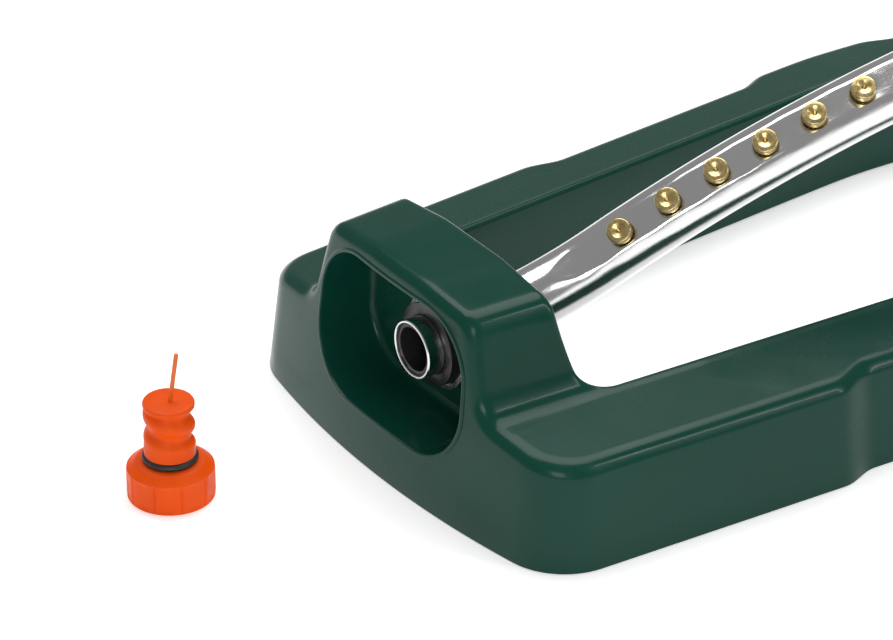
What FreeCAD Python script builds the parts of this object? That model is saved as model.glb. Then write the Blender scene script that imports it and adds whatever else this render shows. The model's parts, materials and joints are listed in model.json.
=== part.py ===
"""Oscillating lawn sprinkler: one-piece frame, swinging spray tube, water motor, clean-out plug.

Millimetres. +X runs from the clean-out end to the hose end, +Y across the frame, +Z up.
The origin is on the ground under the middle of the spray tube's arch.
The tube turns about a line along X at the height axis_height.
"""
import FreeCAD, Part
import math
import os

from FreeCAD import Placement, Rotation, Vector

SIZES = [
    # frame, moulded in one piece and open underneath
    ("plug_end", 243.0, "arch centre to the clean-out end"),
    ("hose_end", 272.0, "arch centre to the hose end"),
    ("wall", 3.0, "moulded wall"),
    ("middle_half_width", 98.4, "half the width at the ground, at the arch centre"),
    ("middle_round", 300.0, "outer sides at the arch centre"),
    ("splay", 3.97, "rails open towards the middle, degrees"),
    ("side_draft", 7.5, "outer sides lean in, degrees"),
    ("end_draft", 6.0, "end faces lean in, degrees"),
    ("end_bow_radius", 358.0, "end faces bow out"),
    ("corner_radius", 22.0, "outer corners seen from above"),
    ("hub_height", 72.2, "top of the end hubs"),
    ("hub_crown_half", 15.0, "half the level part on top of a hub"),
    ("hub_crown_fall", 7.0, "hub top falls outwards beyond it, degrees"),
    ("hub_crown_round", 40.0, "rounding between the two"),
    ("hub_half", 39.5, "half a hub's width at its shoulders"),
    ("hub_slope", 74.0, "hub sides, degrees"),
    ("hub_round", 8.0, "hub shoulder rounding"),
    ("hub_foot_round", 10.0, "hollow where a hub meets the rails"),
    ("rail_height", 39.5, "top of a rail at its inner edge"),
    ("rail_fall", 10.0, "rail top falls outwards, degrees"),
    ("rail_width", 33.9, "rail at the ground, from the opening to the outer side"),
    ("opening_edge_round", 2.0, "top edge of the opening"),
    ("opening_round", 18.0, "corners of the opening"),
    ("opening_plug_end", 205.0, "arch centre to the clean-out hub's inner face"),
    ("opening_hose_end", 214.0, "arch centre to the hose hub's inner face"),
    ("grip_start", 21.0, "arch centre to a grip recess"),
    ("grip_length", 107.0, "grip recess"),
    ("grip_depth", 4.3, "grip recess"),
    ("grip_run_out", 14.0, "sloping ends of a grip recess"),
    # recess in the clean-out end
    ("recess_low", 17.7, "bottom edge of the recess"),
    ("recess_high", 66.0, "top edge of the recess"),
    ("recess_top_half", 36.5, "half the top edge"),
    ("recess_low_half", 38.8, "half the bottom edge"),
    ("recess_round", 20.0, "corners of the recess"),
    ("recess_back", 218.0, "arch centre to the recess's back wall"),
    ("cup_wall", 2.0, "wall of the recess's cup"),
    # spray tube
    ("axis_height", 39.7, "tube's turning axis above the ground"),
    ("rest_roll", 32.0, "tube's lean from upright at rest, degrees"),
    ("tube_radius", 10.2, "outside, along the arch"),
    ("tube_end_radius", 9.5, "outside, at the two ends"),
    ("tube_wall", 0.9, "tube wall"),
    ("tube_plug_end", 228.7, "arch centre to the open end"),
    ("tube_drive_end", 220.0, "arch centre to the driven end"),
    ("arch_radius", 247.0, "centre line of the arch"),
    ("arch_angle", 41.3, "steepest slope of the arch, degrees"),
    ("plug_bend_radius", 82.4, "bend at the clean-out end"),
    ("drive_bend_radius", 50.0, "bend at the driven end"),
    ("nozzle_count", 21.0, "spray nozzles"),
    ("nozzle_pitch", 16.8, "between nozzles, along the tube"),
    ("nozzle_row_shift", 1.6, "middle nozzle from the arch's top, towards the clean-out end"),
    ("nozzle_radius", 3.9, "nozzle head"),
    ("nozzle_height", 2.3, "nozzle head"),
    ("nozzle_stem_radius", 2.0, "stem in the tube wall"),
    ("nozzle_bore_radius", 0.75, "water hole"),
    # fits
    ("run_gap", 0.05, "radial clearance of everything that turns"),
    ("end_gap", 0.4, "side clearance of everything that turns"),
    # bush at the clean-out end
    ("bush_radius", 13.5, "sleeve outside"),
    ("bush_flange_radius", 15.5, "flange outside"),
    ("bush_bearing", 4.3, "length of the bore that carries the tube"),
    ("bush_relief_radius", 12.15, "bore beyond it, clear of the tube's bend"),
    ("bush_flange", 1.7, "flange thickness"),
    ("bush_reach", 5.0, "sleeve past the recess's back wall"),
    ("clip_width", 1.6, "spring clip"),
    ("boss_radius", 17.0, "moulded boss round the bush"),
    # clean-out socket
    ("socket_bore", 7.1, "inside its thread"),
    ("socket_length", 14.0, "socket in the tube's open end"),
    ("socket_inset", 0.7, "socket behind the tube's end"),
    # drive end
    ("collar_radius", 13.5, "collar that carries the range tabs"),
    ("collar_start", 203.5, "arch centre to the collar"),
    ("collar_length", 6.1, "collar"),
    ("journal_radius", 12.0, "adapter in the motor cover"),
    ("seal_groove_radius", 10.3, "groove for the shaft seal"),
    ("seal_width", 1.7, "shaft seal"),
    ("gear_seat_radius", 6.0, "adapter end that holds the output gear"),
    ("adapter_bore", 4.0, "water way"),
    ("adapter_end_play", 1.0, "adapter past the cover plate"),
    ("adapter_mouth_radius", 10.9, "room for the tube's bend"),
    ("adapter_mouth", 3.3, "depth of that room"),
    ("tab_width", 2.6, "range tab"),
    ("tab_ring_radius", 16.2, "range tab's ring"),
    ("tab_reach", 27.0, "tip of a range tab from the axis"),
    ("tab_thumb_width", 6.0, "range tab's thumb piece"),
    ("tab_angle", 40.0, "each tab's angle from the nozzle row, degrees"),
    # water motor
    ("nose_radius", 15.5, "motor cover's nose, outside"),
    ("nose_start", 210.0, "arch centre to the nose"),
    ("cover_start", 218.0, "arch centre to the cover plate"),
    ("cover_thickness", 3.0, "cover plate"),
    ("case_radius", 24.0, "motor case outside"),
    ("case_wall", 2.0, "motor case wall"),
    ("case_end", 256.0, "arch centre to the case's closed end"),
    ("gasket_thickness", 1.0, "gasket under the cover"),
    ("ear_circle", 26.0, "case screws from the axis"),
    ("ear_radius", 3.0, "screw ears"),
    ("screw_radius", 1.5, "case screws"),
    ("screw_head_radius", 2.6, "case screw heads"),
    ("screw_head", 1.6, "case screw heads"),
    ("trip_width", 2.8, "trip ring"),
    ("trip_radius", 18.5, "trip ring outside"),
    ("prong_inner", 16.6, "trip prong from the axis"),
    ("prong_outer", 19.6, "trip prong from the axis"),
    ("prong_width", 4.0, "trip prong"),
    # gears
    ("gear_module", 0.5, "tooth size"),
    ("wheel_teeth", 36.0, "large gears"),
    ("pinion_teeth", 10.0, "small gears"),
    ("backlash", 0.12, "tooth play"),
    ("gear_width", 3.0, "output gear"),
    ("pinion_width", 4.0, "pinions"),
    ("output_gear_start", 223.0, "arch centre to the output gear"),
    ("second_stage_start", 228.0, "arch centre to the second mesh"),
    ("axle_radius", 1.5, "gear axle and turbine shaft"),
    ("gear_plate_start", 234.0, "arch centre to the gear plate"),
    ("gear_plate_thickness", 2.0, "gear plate"),
    # turbine
    ("turbine_start", 238.0, "arch centre to the turbine"),
    ("turbine_width", 8.0, "turbine"),
    ("turbine_radius", 18.0, "turbine blade tips"),
    ("turbine_hub_radius", 5.0, "turbine hub"),
    ("turbine_disc_radius", 11.0, "turbine disc"),
    ("turbine_disc", 1.5, "turbine disc"),
    ("blade_count", 12.0, "turbine blades"),
    ("blade_thickness", 1.2, "turbine blades"),
    ("jet_plate_start", 248.0, "arch centre to the jet plate"),
    ("jet_plate_thickness", 2.0, "jet plate"),
    ("jet_circle", 14.0, "jets from the axis"),
    ("jet_radius", 2.0, "jets"),
    ("spigot_radius", 4.0, "pivot of the diverter"),
    ("diverter_thickness", 1.4, "diverter"),
    ("diverter_radius", 17.5, "diverter"),
    ("port_radius", 6.5, "water way into the case"),
    # hose inlet
    ("stem_radius", 9.3, "inlet stem through the end wall"),
    ("stem_journal_radius", 9.0, "stem inside the swivel nut"),
    ("stem_step", 276.0, "arch centre to the journal"),
    ("stem_lip_start", 290.0, "arch centre to the lip that holds the nut"),
    ("stem_lip", 3.0, "lip thickness"),
    ("stem_lip_radius", 12.2, "lip"),
    ("nut_start", 284.0, "arch centre to the swivel nut"),
    ("nut_end", 314.0, "arch centre to the nut's mouth"),
    ("nut_collar", 5.7, "nut's inner collar"),
    ("nut_radius", 16.5, "nut outside, in the grooves"),
    ("nut_rib_radius", 2.2, "nut's grip ribs"),
    ("nut_rib_count", 12.0, "nut's grip ribs"),
    ("hose_thread_radius", 12.6, "inside the hose thread"),
    ("hose_thread_length", 16.5, "hose thread"),
    ("nut_room_radius", 13.1, "room for the lip and the washer, behind the thread"),
    ("washer_thickness", 3.0, "hose washer"),
    ("filter_thickness", 0.8, "filter screen"),
    ("filter_ring", 2.5, "filter's solid rim"),
    # plate under the motor bay
    ("plate_start", 222.0, "arch centre to the base plate"),
    ("plate_length", 36.0, "base plate"),
    ("plate_half_width", 38.0, "base plate"),
    ("plate_height", 2.0, "underside of the base plate above the ground"),
    ("plate_thickness", 2.5, "base plate"),
    ("post_radius", 4.0, "screw posts under the hub"),
    ("plate_screw_inset", 6.0, "base plate screws from its edges"),
    # clean-out plug, standing on its knob beside the frame
    ("plug_x", -300.0, "plug's place on the ground"),
    ("plug_y", 26.6, "plug's place on the ground"),
    ("knob_radius", 14.0, "knob"),
    ("knob_height", 10.0, "knob's upright side"),
    ("knob_shoulder", 2.5, "knob's sloping shoulder"),
    ("knob_top_radius", 10.5, "knob's flat top"),
    ("flute_count", 10.0, "finger flutes"),
    ("flute_radius", 5.0, "finger flutes"),
    ("flute_depth", 0.7, "finger flutes"),
    ("plug_root_radius", 6.6, "screw, between its threads"),
    ("plug_thread_radius", 8.0, "screw, over its threads"),
    ("plug_thread_pitch", 8.0, "screw pitch"),
    ("plug_top", 33.0, "top of the screw"),
    ("o_ring_radius", 1.1, "plug's O-ring, section"),
    ("pin_radius", 0.68, "cleaning pin"),
    ("pin_length", 16.7, "cleaning pin above the screw"),
    ("pin_depth", 4.0, "cleaning pin in the screw"),
    ("pin_lean", 8.0, "cleaning pin's lean, degrees"),
]

TOP_CUT = 90.0      # higher than anything on the frame
PAST = 5.0          # how far a cutting tool runs past what it cuts

doc = FreeCAD.newDocument("sprinkler")
sheet = doc.addObject("Spreadsheet::Sheet", "sizes")
for row, (alias, value, note) in enumerate(SIZES, start=1):
    sheet.set("A%d" % row, alias)
    sheet.set("B%d" % row, str(value))
    sheet.set("C%d" % row, note)
    sheet.setAlias("B%d" % row, alias)
doc.recompute()

parts = {}


def size(alias):
    """A driving dimension as a number."""
    return float(sheet.get(alias))


def count(alias):
    """A driving dimension that counts things."""
    return int(round(size(alias)))


def bind(obj, **expressions):
    """Ties an object's properties to the sheet; place_x, place_y and place_z move it."""
    for name, expression in expressions.items():
        if name.startswith("place_"):
            name = ".Placement.Base." + name[-1]
        obj.setExpression(name, expression)


def s(text):
    """Turns bare aliases in an expression into references to the sheet."""
    words = text.replace("(", "( ").replace(")", " )").split()
    names = {row[0] for row in SIZES}
    return " ".join("sizes." + word if word in names else word for word in words)


def rod(name, radius, start, length, y="0", z="axis_height"):
    """A cylinder along +X that starts at x = start."""
    obj = doc.addObject("Part::Cylinder", name)
    obj.Placement = Placement(Vector(), Rotation(Vector(0, 1, 0), 90))
    bind(obj, Radius=s(radius), Height=s(length), place_x=s(start), place_y=s(y), place_z=s(z))
    return obj


def post(name, radius, x, y, z, height):
    """A cylinder along +Z that stands at x, y, z."""
    obj = doc.addObject("Part::Cylinder", name)
    bind(obj, Radius=s(radius), Height=s(height), place_x=s(x), place_y=s(y), place_z=s(z))
    return obj


def block(name, x, y, z, length, width, height):
    """A box from its lowest corner."""
    obj = doc.addObject("Part::Box", name)
    bind(obj, Length=s(length), Width=s(width), Height=s(height))
    bind(obj, place_x=s(x), place_y=s(y), place_z=s(z))
    return obj


def fuse(name, *pieces):
    """Joins pieces into one."""
    obj = doc.addObject("Part::MultiFuse", name)
    obj.Shapes = list(pieces)
    return obj


def cut(name, base, *tools):
    """Takes the tools out of the base."""
    obj = doc.addObject("Part::Cut", name)
    obj.Base = base
    obj.Tool = tools[0] if len(tools) == 1 else fuse(name + "_tools", *tools)
    return obj


def group(name, *pieces):
    """Holds separate solids as one sub-part."""
    obj = doc.addObject("Part::Compound", name)
    obj.Links = list(pieces)
    return obj


def shaped(name, shape):
    """A feature whose shape is made with Part's own functions."""
    obj = doc.addObject("Part::Feature", name)
    obj.Shape = shape
    return obj


def keep(node, obj):
    """Names a finished sub-part."""
    obj.Label = node
    parts[node] = obj
    return obj


def rounded_wire(points, radii):
    """A closed outline through points, each corner rounded by its radius; 0 leaves it sharp."""
    starts, ends, middles = [], [], []
    for index, corner in enumerate(points):
        before = (points[index - 1] - corner).normalize()
        after = (points[(index + 1) % len(points)] - corner).normalize()
        half = before.getAngle(after) / 2
        back = radii[index] / math.tan(half)
        starts.append(corner + before * back)
        ends.append(corner + after * back)
        to_centre = (before + after).normalize()
        middles.append(corner + to_centre * (radii[index] / math.sin(half) - radii[index]))
    edges = []
    for index, radius in enumerate(radii):
        if radius > 0:
            edges.append(Part.Arc(starts[index], middles[index], ends[index]).toShape())
        edges.append(Part.LineSegment(ends[index], starts[(index + 1) % len(points)]).toShape())
    return Part.Wire(edges)


def slab(wire, direction):
    """The solid that a flat outline sweeps along a straight line."""
    return Part.Face(wire).extrude(direction)


# ---------------------------------------------------------------- frame

def half_width_at(x, inset=0.0):
    """Half the frame's width at the ground."""
    return size("middle_half_width") - abs(x) * math.tan(math.radians(size("splay"))) - inset


def opening_half_at(x, outset=0.0):
    """Half the opening's width."""
    return half_width_at(x) - size("rail_width") - outset


def outline_at(z, inset):
    """The frame's outline, seen from above, at height z."""
    end_lean = z * math.tan(math.radians(size("end_draft")))
    side_lean = z * math.tan(math.radians(size("side_draft")))
    corners = []
    for end, sign in ((size("plug_end"), -1), (size("hose_end"), 1)):
        middle = sign * (end - inset - end_lean)
        half = half_width_at(middle, inset + side_lean)
        bow = size("end_bow_radius") - math.sqrt(size("end_bow_radius") ** 2 - half ** 2)
        corners.append((middle, middle - sign * bow, half))
    splay = math.radians(size("splay"))
    bend = size("middle_round") * math.tan(splay)
    middle_half = half_width_at(0, inset + side_lean) - size("middle_round") * (1 / math.cos(splay) - 1)
    (plug_x, plug_corner, plug_half), (hose_x, hose_corner, hose_half) = corners
    right = [Vector(plug_corner, plug_half, z),
             Vector(-bend, half_width_at(bend, inset + side_lean), z),
             Vector(0, middle_half, z), Vector(bend, half_width_at(bend, inset + side_lean), z),
             Vector(hose_corner, hose_half, z)]
    left = [Vector(point.x, -point.y, point.z) for point in reversed(right)]
    edges = []
    for side in (right, left):
        edges.append(Part.makeLine(side[0], side[1]))
        edges.append(Part.Arc(side[1], side[2], side[3]).toShape())
        edges.append(Part.makeLine(side[3], side[4]))
    edges.insert(3, Part.Arc(right[4], Vector(hose_x, 0, z), left[0]).toShape())
    edges.append(Part.Arc(left[4], Vector(plug_x, 0, z), right[0]).toShape())
    return Part.Wire(edges)


def envelope(inset):
    """The leaning outer sides and ends, with rounded corners."""
    solid = Part.makeLoft([outline_at(0, inset), outline_at(TOP_CUT, inset)], True, True)
    corners = []
    for edge in solid.Edges:
        low, high = edge.Vertexes[0].Point, edge.Vertexes[-1].Point
        if abs(low.z - high.z) > TOP_CUT / 2 and abs(low.x) > size("plug_end") / 2:
            corners.append(edge)
    return solid.makeFillet(size("corner_radius") - inset, corners)


def crossing(first, second):
    """Where two lines meet; each is (across, height, slope in degrees)."""
    (across, height, slope), (other_across, other_height, other_slope) = first, second
    rise, other_rise = math.tan(math.radians(slope)), math.tan(math.radians(other_slope))
    meet = (other_height - height + rise * across - other_rise * other_across) / (rise - other_rise)
    return meet, height + rise * (meet - across)


def lowered(line, inset):
    """The same line, moved into the material."""
    across, height, slope = line
    return across, height - inset / math.cos(math.radians(slope)), slope


def hub_lines(inset):
    """The four lines of half a hub's section: level top, falling top, side and rail top."""
    high = size("hub_height")
    drop = (size("hub_half") - size("hub_crown_half")) * math.tan(math.radians(size("hub_crown_fall")))
    lines = [(0, high, 0), (size("hub_crown_half"), high, -size("hub_crown_fall")),
             (size("hub_half"), high - drop, -size("hub_slope")),
             (opening_half_at(size("opening_plug_end")), size("rail_height"), -size("rail_fall"))]
    return [lowered(line, inset) for line in lines]


def top_form(inset):
    """Everything under the frame's top surface: hubs in the middle, falling rails at the sides."""
    splay = math.tan(math.radians(size("splay")))
    station = size("opening_plug_end")
    level, crown, side, rail = hub_lines(inset)
    far = half_width_at(0) + 40
    far_height = rail[1] + (far - rail[0]) * math.tan(math.radians(rail[2]))
    low = -PAST
    profile = [(low, low), (low, level[1]), crossing(level, crown), crossing(crown, side),
               crossing(side, rail), (far, far_height), (far, low)]
    radii = [0, 0, size("hub_crown_round") - inset, size("hub_round") - inset,
             size("hub_foot_round") + inset, 0, 0]
    quarters = []
    for sign_x in (-1, 1):
        reach = size("hose_end") + 20
        for sign_y in (-1, 1):
            points = [Vector(0, sign_y * (y + station * splay), z) for y, z in profile]
            sweep = Vector(sign_x * reach, -sign_y * reach * splay, 0)
            quarters.append(slab(rounded_wire(points, radii), sweep))
    return quarters[0].multiFuse(quarters[1:]).removeSplitter()


def opening_form(outset):
    """The window between the rails."""
    plug = -size("opening_plug_end") - outset
    hose = size("opening_hose_end") + outset
    right = [Vector(x, opening_half_at(x, -outset), -PAST) for x in (plug, 0, hose)]
    left = [Vector(point.x, -point.y, point.z) for point in reversed(right)]
    radius = size("opening_round") + outset
    middle = size("middle_round") + size("rail_width") - outset
    wire = rounded_wire(right + left, [radius, middle, radius, radius, middle, radius])
    return slab(wire, Vector(0, 0, TOP_CUT))


def recess_form(grow):
    """The pocket in the clean-out end, a rounded trapezoid."""
    back = -size("recess_back") + grow
    low = size("recess_low") - grow
    high = size("recess_high") + grow
    low_half, top_half = size("recess_low_half") + grow, size("recess_top_half") + grow
    points = [Vector(back, -low_half, low), Vector(back, -top_half, high),
              Vector(back, top_half, high), Vector(back, low_half, low)]
    wire = rounded_wire(points, [size("recess_round") + grow] * 4)
    return slab(wire, Vector(-(size("plug_end") - size("recess_back") + PAST + grow), 0, 0))


def grip_forms(inset):
    """The hollows along the outer sides, two on each rail."""
    lean = math.tan(math.radians(size("side_draft")))
    near, length, run = size("grip_start"), size("grip_length"), size("grip_run_out")
    tools = []
    for sign_x in (-1, 1):
        for sign_y in (-1, 1):
            wires = []
            for z in (-PAST, TOP_CUT):
                depth = size("grip_depth") + inset + z * lean
                stops = [(near - inset, inset + z * lean), (near + run - inset, depth),
                         (near + length - run + inset, depth), (near + length + inset,
                                                                inset + z * lean)]
                points = [Vector(sign_x * x, sign_y * half_width_at(x, side), z) for x, side in stops]
                outside = half_width_at(0) + 40
                points += [Vector(points[3].x, sign_y * outside, z),
                           Vector(points[0].x, sign_y * outside, z)]
                wires.append(Part.makePolygon(points + points[:1]))
            tools.append(Part.makeLoft(wires, True, True))
    return tools


def lies_on(edge, shell):
    """True where an edge runs along a shell."""
    for part in (0.25, 0.5, 0.75):
        first, last = edge.FirstParameter, edge.LastParameter
        point = Part.Vertex(edge.valueAt(first + part * (last - first)))
        if point.distToShape(shell)[0] > 0.01:
            return False
    return True


def top_edges(solid, sides, top):
    """The edges of a solid where its sides meet its top."""
    found = []
    for edge in solid.Edges:
        middle = edge.valueAt((edge.FirstParameter + edge.LastParameter) / 2)
        if middle.z > size("recess_low") and lies_on(edge, sides) and lies_on(edge, top):
            found.append(edge)
    return found


def frame_block(inset):
    """The frame as a full block, before its pockets; with an inset it is the hollow inside."""
    top, window = top_form(inset), opening_form(inset)
    form = envelope(inset).common(top)
    for tool in grip_forms(inset):
        form = form.cut(tool)
    form = form.cut(window)
    if inset == 0:
        form = form.makeFillet(size("opening_edge_round"),
                               top_edges(form, window.Shells[0], top.Shells[0]))
    return form


def bush_hole():
    """The hole for the tube's bush, through the cup and the wall of the opening."""
    length = size("recess_back") - size("opening_plug_end") + size("wall") + PAST
    start = Vector(-size("recess_back") - PAST / 5, 0, size("axis_height"))
    return Part.makeCylinder(size("bush_radius"), length, start, Vector(1, 0, 0))


def make_base_frame():
    """The moulded shell, and the cup of the recess that is pressed into its clean-out end."""
    wall = size("wall")
    axis = size("axis_height")
    along = Vector(1, 0, 0)
    outer = frame_block(0)
    inner = frame_block(wall)
    posts = plate_points()
    for x, y in posts:
        height = size("hub_height")
        foot = size("plate_height") + size("plate_thickness")
        inner = inner.cut(Part.makeCylinder(size("post_radius"), height, Vector(x, y, foot)))
    shell = outer.cut(inner).cut(recess_form(size("cup_wall")))
    nose_hole = Part.makeCylinder(size("nose_radius"), 2 * wall,
                                  Vector(size("opening_hose_end") - wall / 2, 0, axis), along)
    stem_hole = Part.makeCylinder(size("stem_radius"), size("hose_end") - size("case_end"),
                                  Vector(size("case_end"), 0, axis), along)
    shell = shell.cut(bush_hole()).cut(nose_hole).cut(stem_hole)
    for x, y in posts:
        depth = size("screw_radius") * 6
        foot = size("plate_height") + size("plate_thickness")
        shell = shell.cut(Part.makeCylinder(size("screw_radius"), depth, Vector(x, y, foot)))
    keep("base_frame", shaped("BaseFrame", shell))
    cup = outer.common(recess_form(size("cup_wall")))
    boss = Part.makeCylinder(size("boss_radius"), size("recess_back") - size("opening_plug_end") - wall,
                             Vector(-size("recess_back"), 0, axis), along)
    keep("end_recess_cup", shaped("EndRecessCup", cup.cut(recess_form(0)).fuse(boss).cut(bush_hole())))


def plate_points():
    """Where the base plate's screws stand."""
    inset = size("plate_screw_inset")
    near = size("plate_start") + inset
    far = size("plate_start") + size("plate_length") - inset
    side = size("plate_half_width") - inset
    return [(near, -side), (near, side), (far, -side), (far, side)]


def make_base_plate():
    plate = block("PlateBlank", "plate_start", "0 - plate_half_width", "plate_height",
                  "plate_length", "2 * plate_half_width", "plate_thickness")
    holes, screws = [], []
    for index, (x_sign, y_sign) in enumerate(((0, -1), (0, 1), (1, -1), (1, 1))):
        x = "plate_start + plate_screw_inset + %d * ( plate_length - 2 * plate_screw_inset )" % x_sign
        y = "%d * ( plate_half_width - plate_screw_inset )" % y_sign
        holes.append(post("PlateHole%d" % index, "screw_radius", x, y, "0", "plate_height + 10"))
        head = post("PlateHead%d" % index, "screw_head_radius", x, y, "plate_height - screw_head",
                    "screw_head")
        shank = post("PlateShank%d" % index, "screw_radius", x, y, "plate_height",
                     "plate_thickness + 6")
        screws.append(fuse("PlateScrew%d" % index, head, shank))
    keep("base_plate", cut("BasePlate", plate, *holes))
    keep("base_plate_screws", group("BasePlateScrews", *screws))


# ---------------------------------------------------------------- bush at the clean-out end

def make_tube_bush():
    start = "0 - recess_back - bush_reach"
    sleeve = rod("BushSleeve", "bush_radius", start, "recess_back + bush_reach - opening_plug_end")
    flange = rod("BushFlange", "bush_flange_radius", "0 - opening_plug_end", "bush_flange")
    bore = rod("BushBore", "tube_end_radius + run_gap", start + " - 1", "bush_bearing + 2")
    relief = rod("BushRelief", "bush_relief_radius", start + " + bush_bearing", "recess_back")
    keep("tube_bush", cut("TubeBush", fuse("BushBody", sleeve, flange), bore, relief))


def make_bush_clip():
    start = "0 - recess_back - clip_width"
    ring = rod("ClipRing", "bush_flange_radius", start, "clip_width")
    bore = rod("ClipBore", "bush_radius", start + " - 1", "clip_width + 2")
    gap = block("ClipGap", start + " - 1", "0 - 2", "axis_height", "clip_width + 2", "4",
                "bush_flange_radius + 1")
    keep("bush_clip", cut("BushClip", ring, bore, gap))


# ---------------------------------------------------------------- spray tube

def lean(shape):
    """Turns a shape made upright to the tube's lean at rest."""
    shape.rotate(Vector(0, 0, size("axis_height")), Vector(1, 0, 0), size("rest_roll"))
    return shape


def arch_centre():
    """The arch's centre, upright; its plug-end bend ends on the tube's axis."""
    steep = math.radians(size("arch_angle"))
    rise = (size("arch_radius") + size("plug_bend_radius")) * (1 - math.cos(steep))
    return Vector(0, 0, size("axis_height") + rise - size("arch_radius"))


def arc(centre, radius, start, end):
    """An arc about centre; the angles are from upright, in radians."""
    points = [centre + Vector(math.sin(turn), 0, math.cos(turn)) * radius
              for turn in (start, (start + end) / 2, end)]
    return Part.Arc(*points).toShape()


def arch_path():
    """The tube's centre line, upright: straight, bend, arch, slope, bend, straight."""
    steep = math.radians(size("arch_angle"))
    axis, centre = size("axis_height"), arch_centre()
    plug_bend, drive_bend = size("plug_bend_radius"), size("drive_bend_radius")
    plug_start = -(size("arch_radius") + plug_bend) * math.sin(steep)
    foot = centre + Vector(math.sin(steep), 0, math.cos(steep)) * size("arch_radius")
    slope = (foot.z - axis - drive_bend * (1 - math.cos(steep))) / math.sin(steep)
    slope_end = foot + Vector(math.cos(steep), 0, -math.sin(steep)) * slope
    drive_start = slope_end.x + drive_bend * math.sin(steep)
    edges = [Part.makeLine(Vector(plug_start - 1, 0, axis), Vector(plug_start, 0, axis))]
    edges.append(arc(Vector(plug_start, 0, axis + plug_bend), plug_bend, math.pi, math.pi - steep))
    edges.append(arc(centre, size("arch_radius"), -steep, steep))
    edges.append(Part.makeLine(foot, slope_end))
    edges.append(arc(Vector(drive_start, 0, axis + drive_bend), drive_bend, math.pi + steep, math.pi))
    edges.append(Part.makeLine(Vector(drive_start, 0, axis), Vector(drive_start + 1, 0, axis)))
    return Part.Wire(edges), plug_start - 1, drive_start + 1


def nozzle_places():
    """Each nozzle's foot on the centre line and the way it points, upright."""
    radius, centre = size("arch_radius"), arch_centre()
    number = count("nozzle_count")
    places = []
    for index in range(number):
        along = (index - (number - 1) / 2) * size("nozzle_pitch") - size("nozzle_row_shift")
        outward = Vector(math.sin(along / radius), 0, math.cos(along / radius))
        places.append((centre + outward * radius, outward))
    return places


def make_spray_tube():
    path, arch_start, arch_end = arch_path()
    skins = []
    for less in (0, size("tube_wall")):
        ring = Part.Wire(Part.makeCircle(size("tube_radius") - less, path.Vertexes[0].Point,
                                         Vector(1, 0, 0)))
        skin = path.makePipeShell([ring], True, False)
        past = PAST if less else 0
        for begin, end in ((-size("tube_plug_end") - past, arch_start),
                           (arch_end, size("tube_drive_end") + past)):
            skin = skin.fuse(Part.makeCylinder(size("tube_end_radius") - less, end - begin,
                                               Vector(begin, 0, size("axis_height")), Vector(1, 0, 0)))
        skins.append(skin)
    tube = skins[0].cut(skins[1])
    for foot, outward in nozzle_places():
        hole = Part.makeCylinder(size("nozzle_stem_radius"), size("tube_radius") + 2, foot, outward)
        tube = tube.cut(hole)
    keep("spray_tube", shaped("SprayTube", lean(tube)))


def make_spray_nozzles():
    nozzles = []
    for foot, outward in nozzle_places():
        inside = size("tube_radius") - size("tube_wall") - 1
        surface = size("tube_radius") + size("run_gap")
        stem = Part.makeCylinder(size("nozzle_stem_radius"), surface - inside + 0.5,
                                 foot + outward * inside, outward)
        head = Part.makeCylinder(size("nozzle_radius"), size("nozzle_height"),
                                 foot + outward * surface, outward)
        bore = Part.makeCylinder(size("nozzle_bore_radius"), size("tube_radius"),
                                 foot + outward * (inside - 1), outward)
        nozzles.append(stem.fuse(head).cut(bore))
    keep("spray_nozzles", shaped("SprayNozzles", lean(Part.makeCompound(nozzles))))


def make_plug_socket():
    start = "0 - tube_plug_end + socket_inset"
    body = rod("SocketBody", "tube_end_radius - tube_wall", start, "socket_length")
    bore = rod("SocketBore", "socket_bore", start + " - 1", "socket_length + 2")
    keep("plug_socket", cut("PlugSocket", body, bore))


def make_drive_adapter():
    collar = rod("AdapterCollar", "collar_radius", "collar_start", "collar_length")
    journal = rod("AdapterJournal", "journal_radius", "collar_start",
                  "cover_start + cover_thickness - collar_start + adapter_end_play")
    seat = rod("AdapterSeat", "gear_seat_radius", "cover_start",
               "output_gear_start + gear_width - cover_start + 0.5")
    body = fuse("AdapterBody", collar, journal, seat)
    socket = rod("AdapterSocket", "tube_end_radius", "collar_start - 1",
                 "tube_drive_end - collar_start + 1")
    mouth = rod("AdapterMouth", "adapter_mouth_radius", "collar_start - 1", "adapter_mouth + 1")
    bore = rod("AdapterBore", "adapter_bore", "collar_start", "case_end - collar_start")
    groove = cut("SealGroove", rod("SealGrooveOut", "journal_radius + 1", seal_start(), "seal_width"),
                 rod("SealGrooveIn", "seal_groove_radius", seal_start(), "seal_width"))
    keep("drive_adapter", cut("DriveAdapter", body, socket, mouth, bore, groove))


def seal_start():
    """The shaft seal sits in the middle of the cover's nose."""
    return "( nose_start + cover_start + cover_thickness - seal_width ) / 2"


def make_shaft_seal():
    ring = rod("SealRing", "journal_radius", seal_start(), "seal_width")
    bore = rod("SealBore", "seal_groove_radius", seal_start() + " - 1", "seal_width + 2")
    keep("shaft_seal", cut("ShaftSeal", ring, bore))


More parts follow.
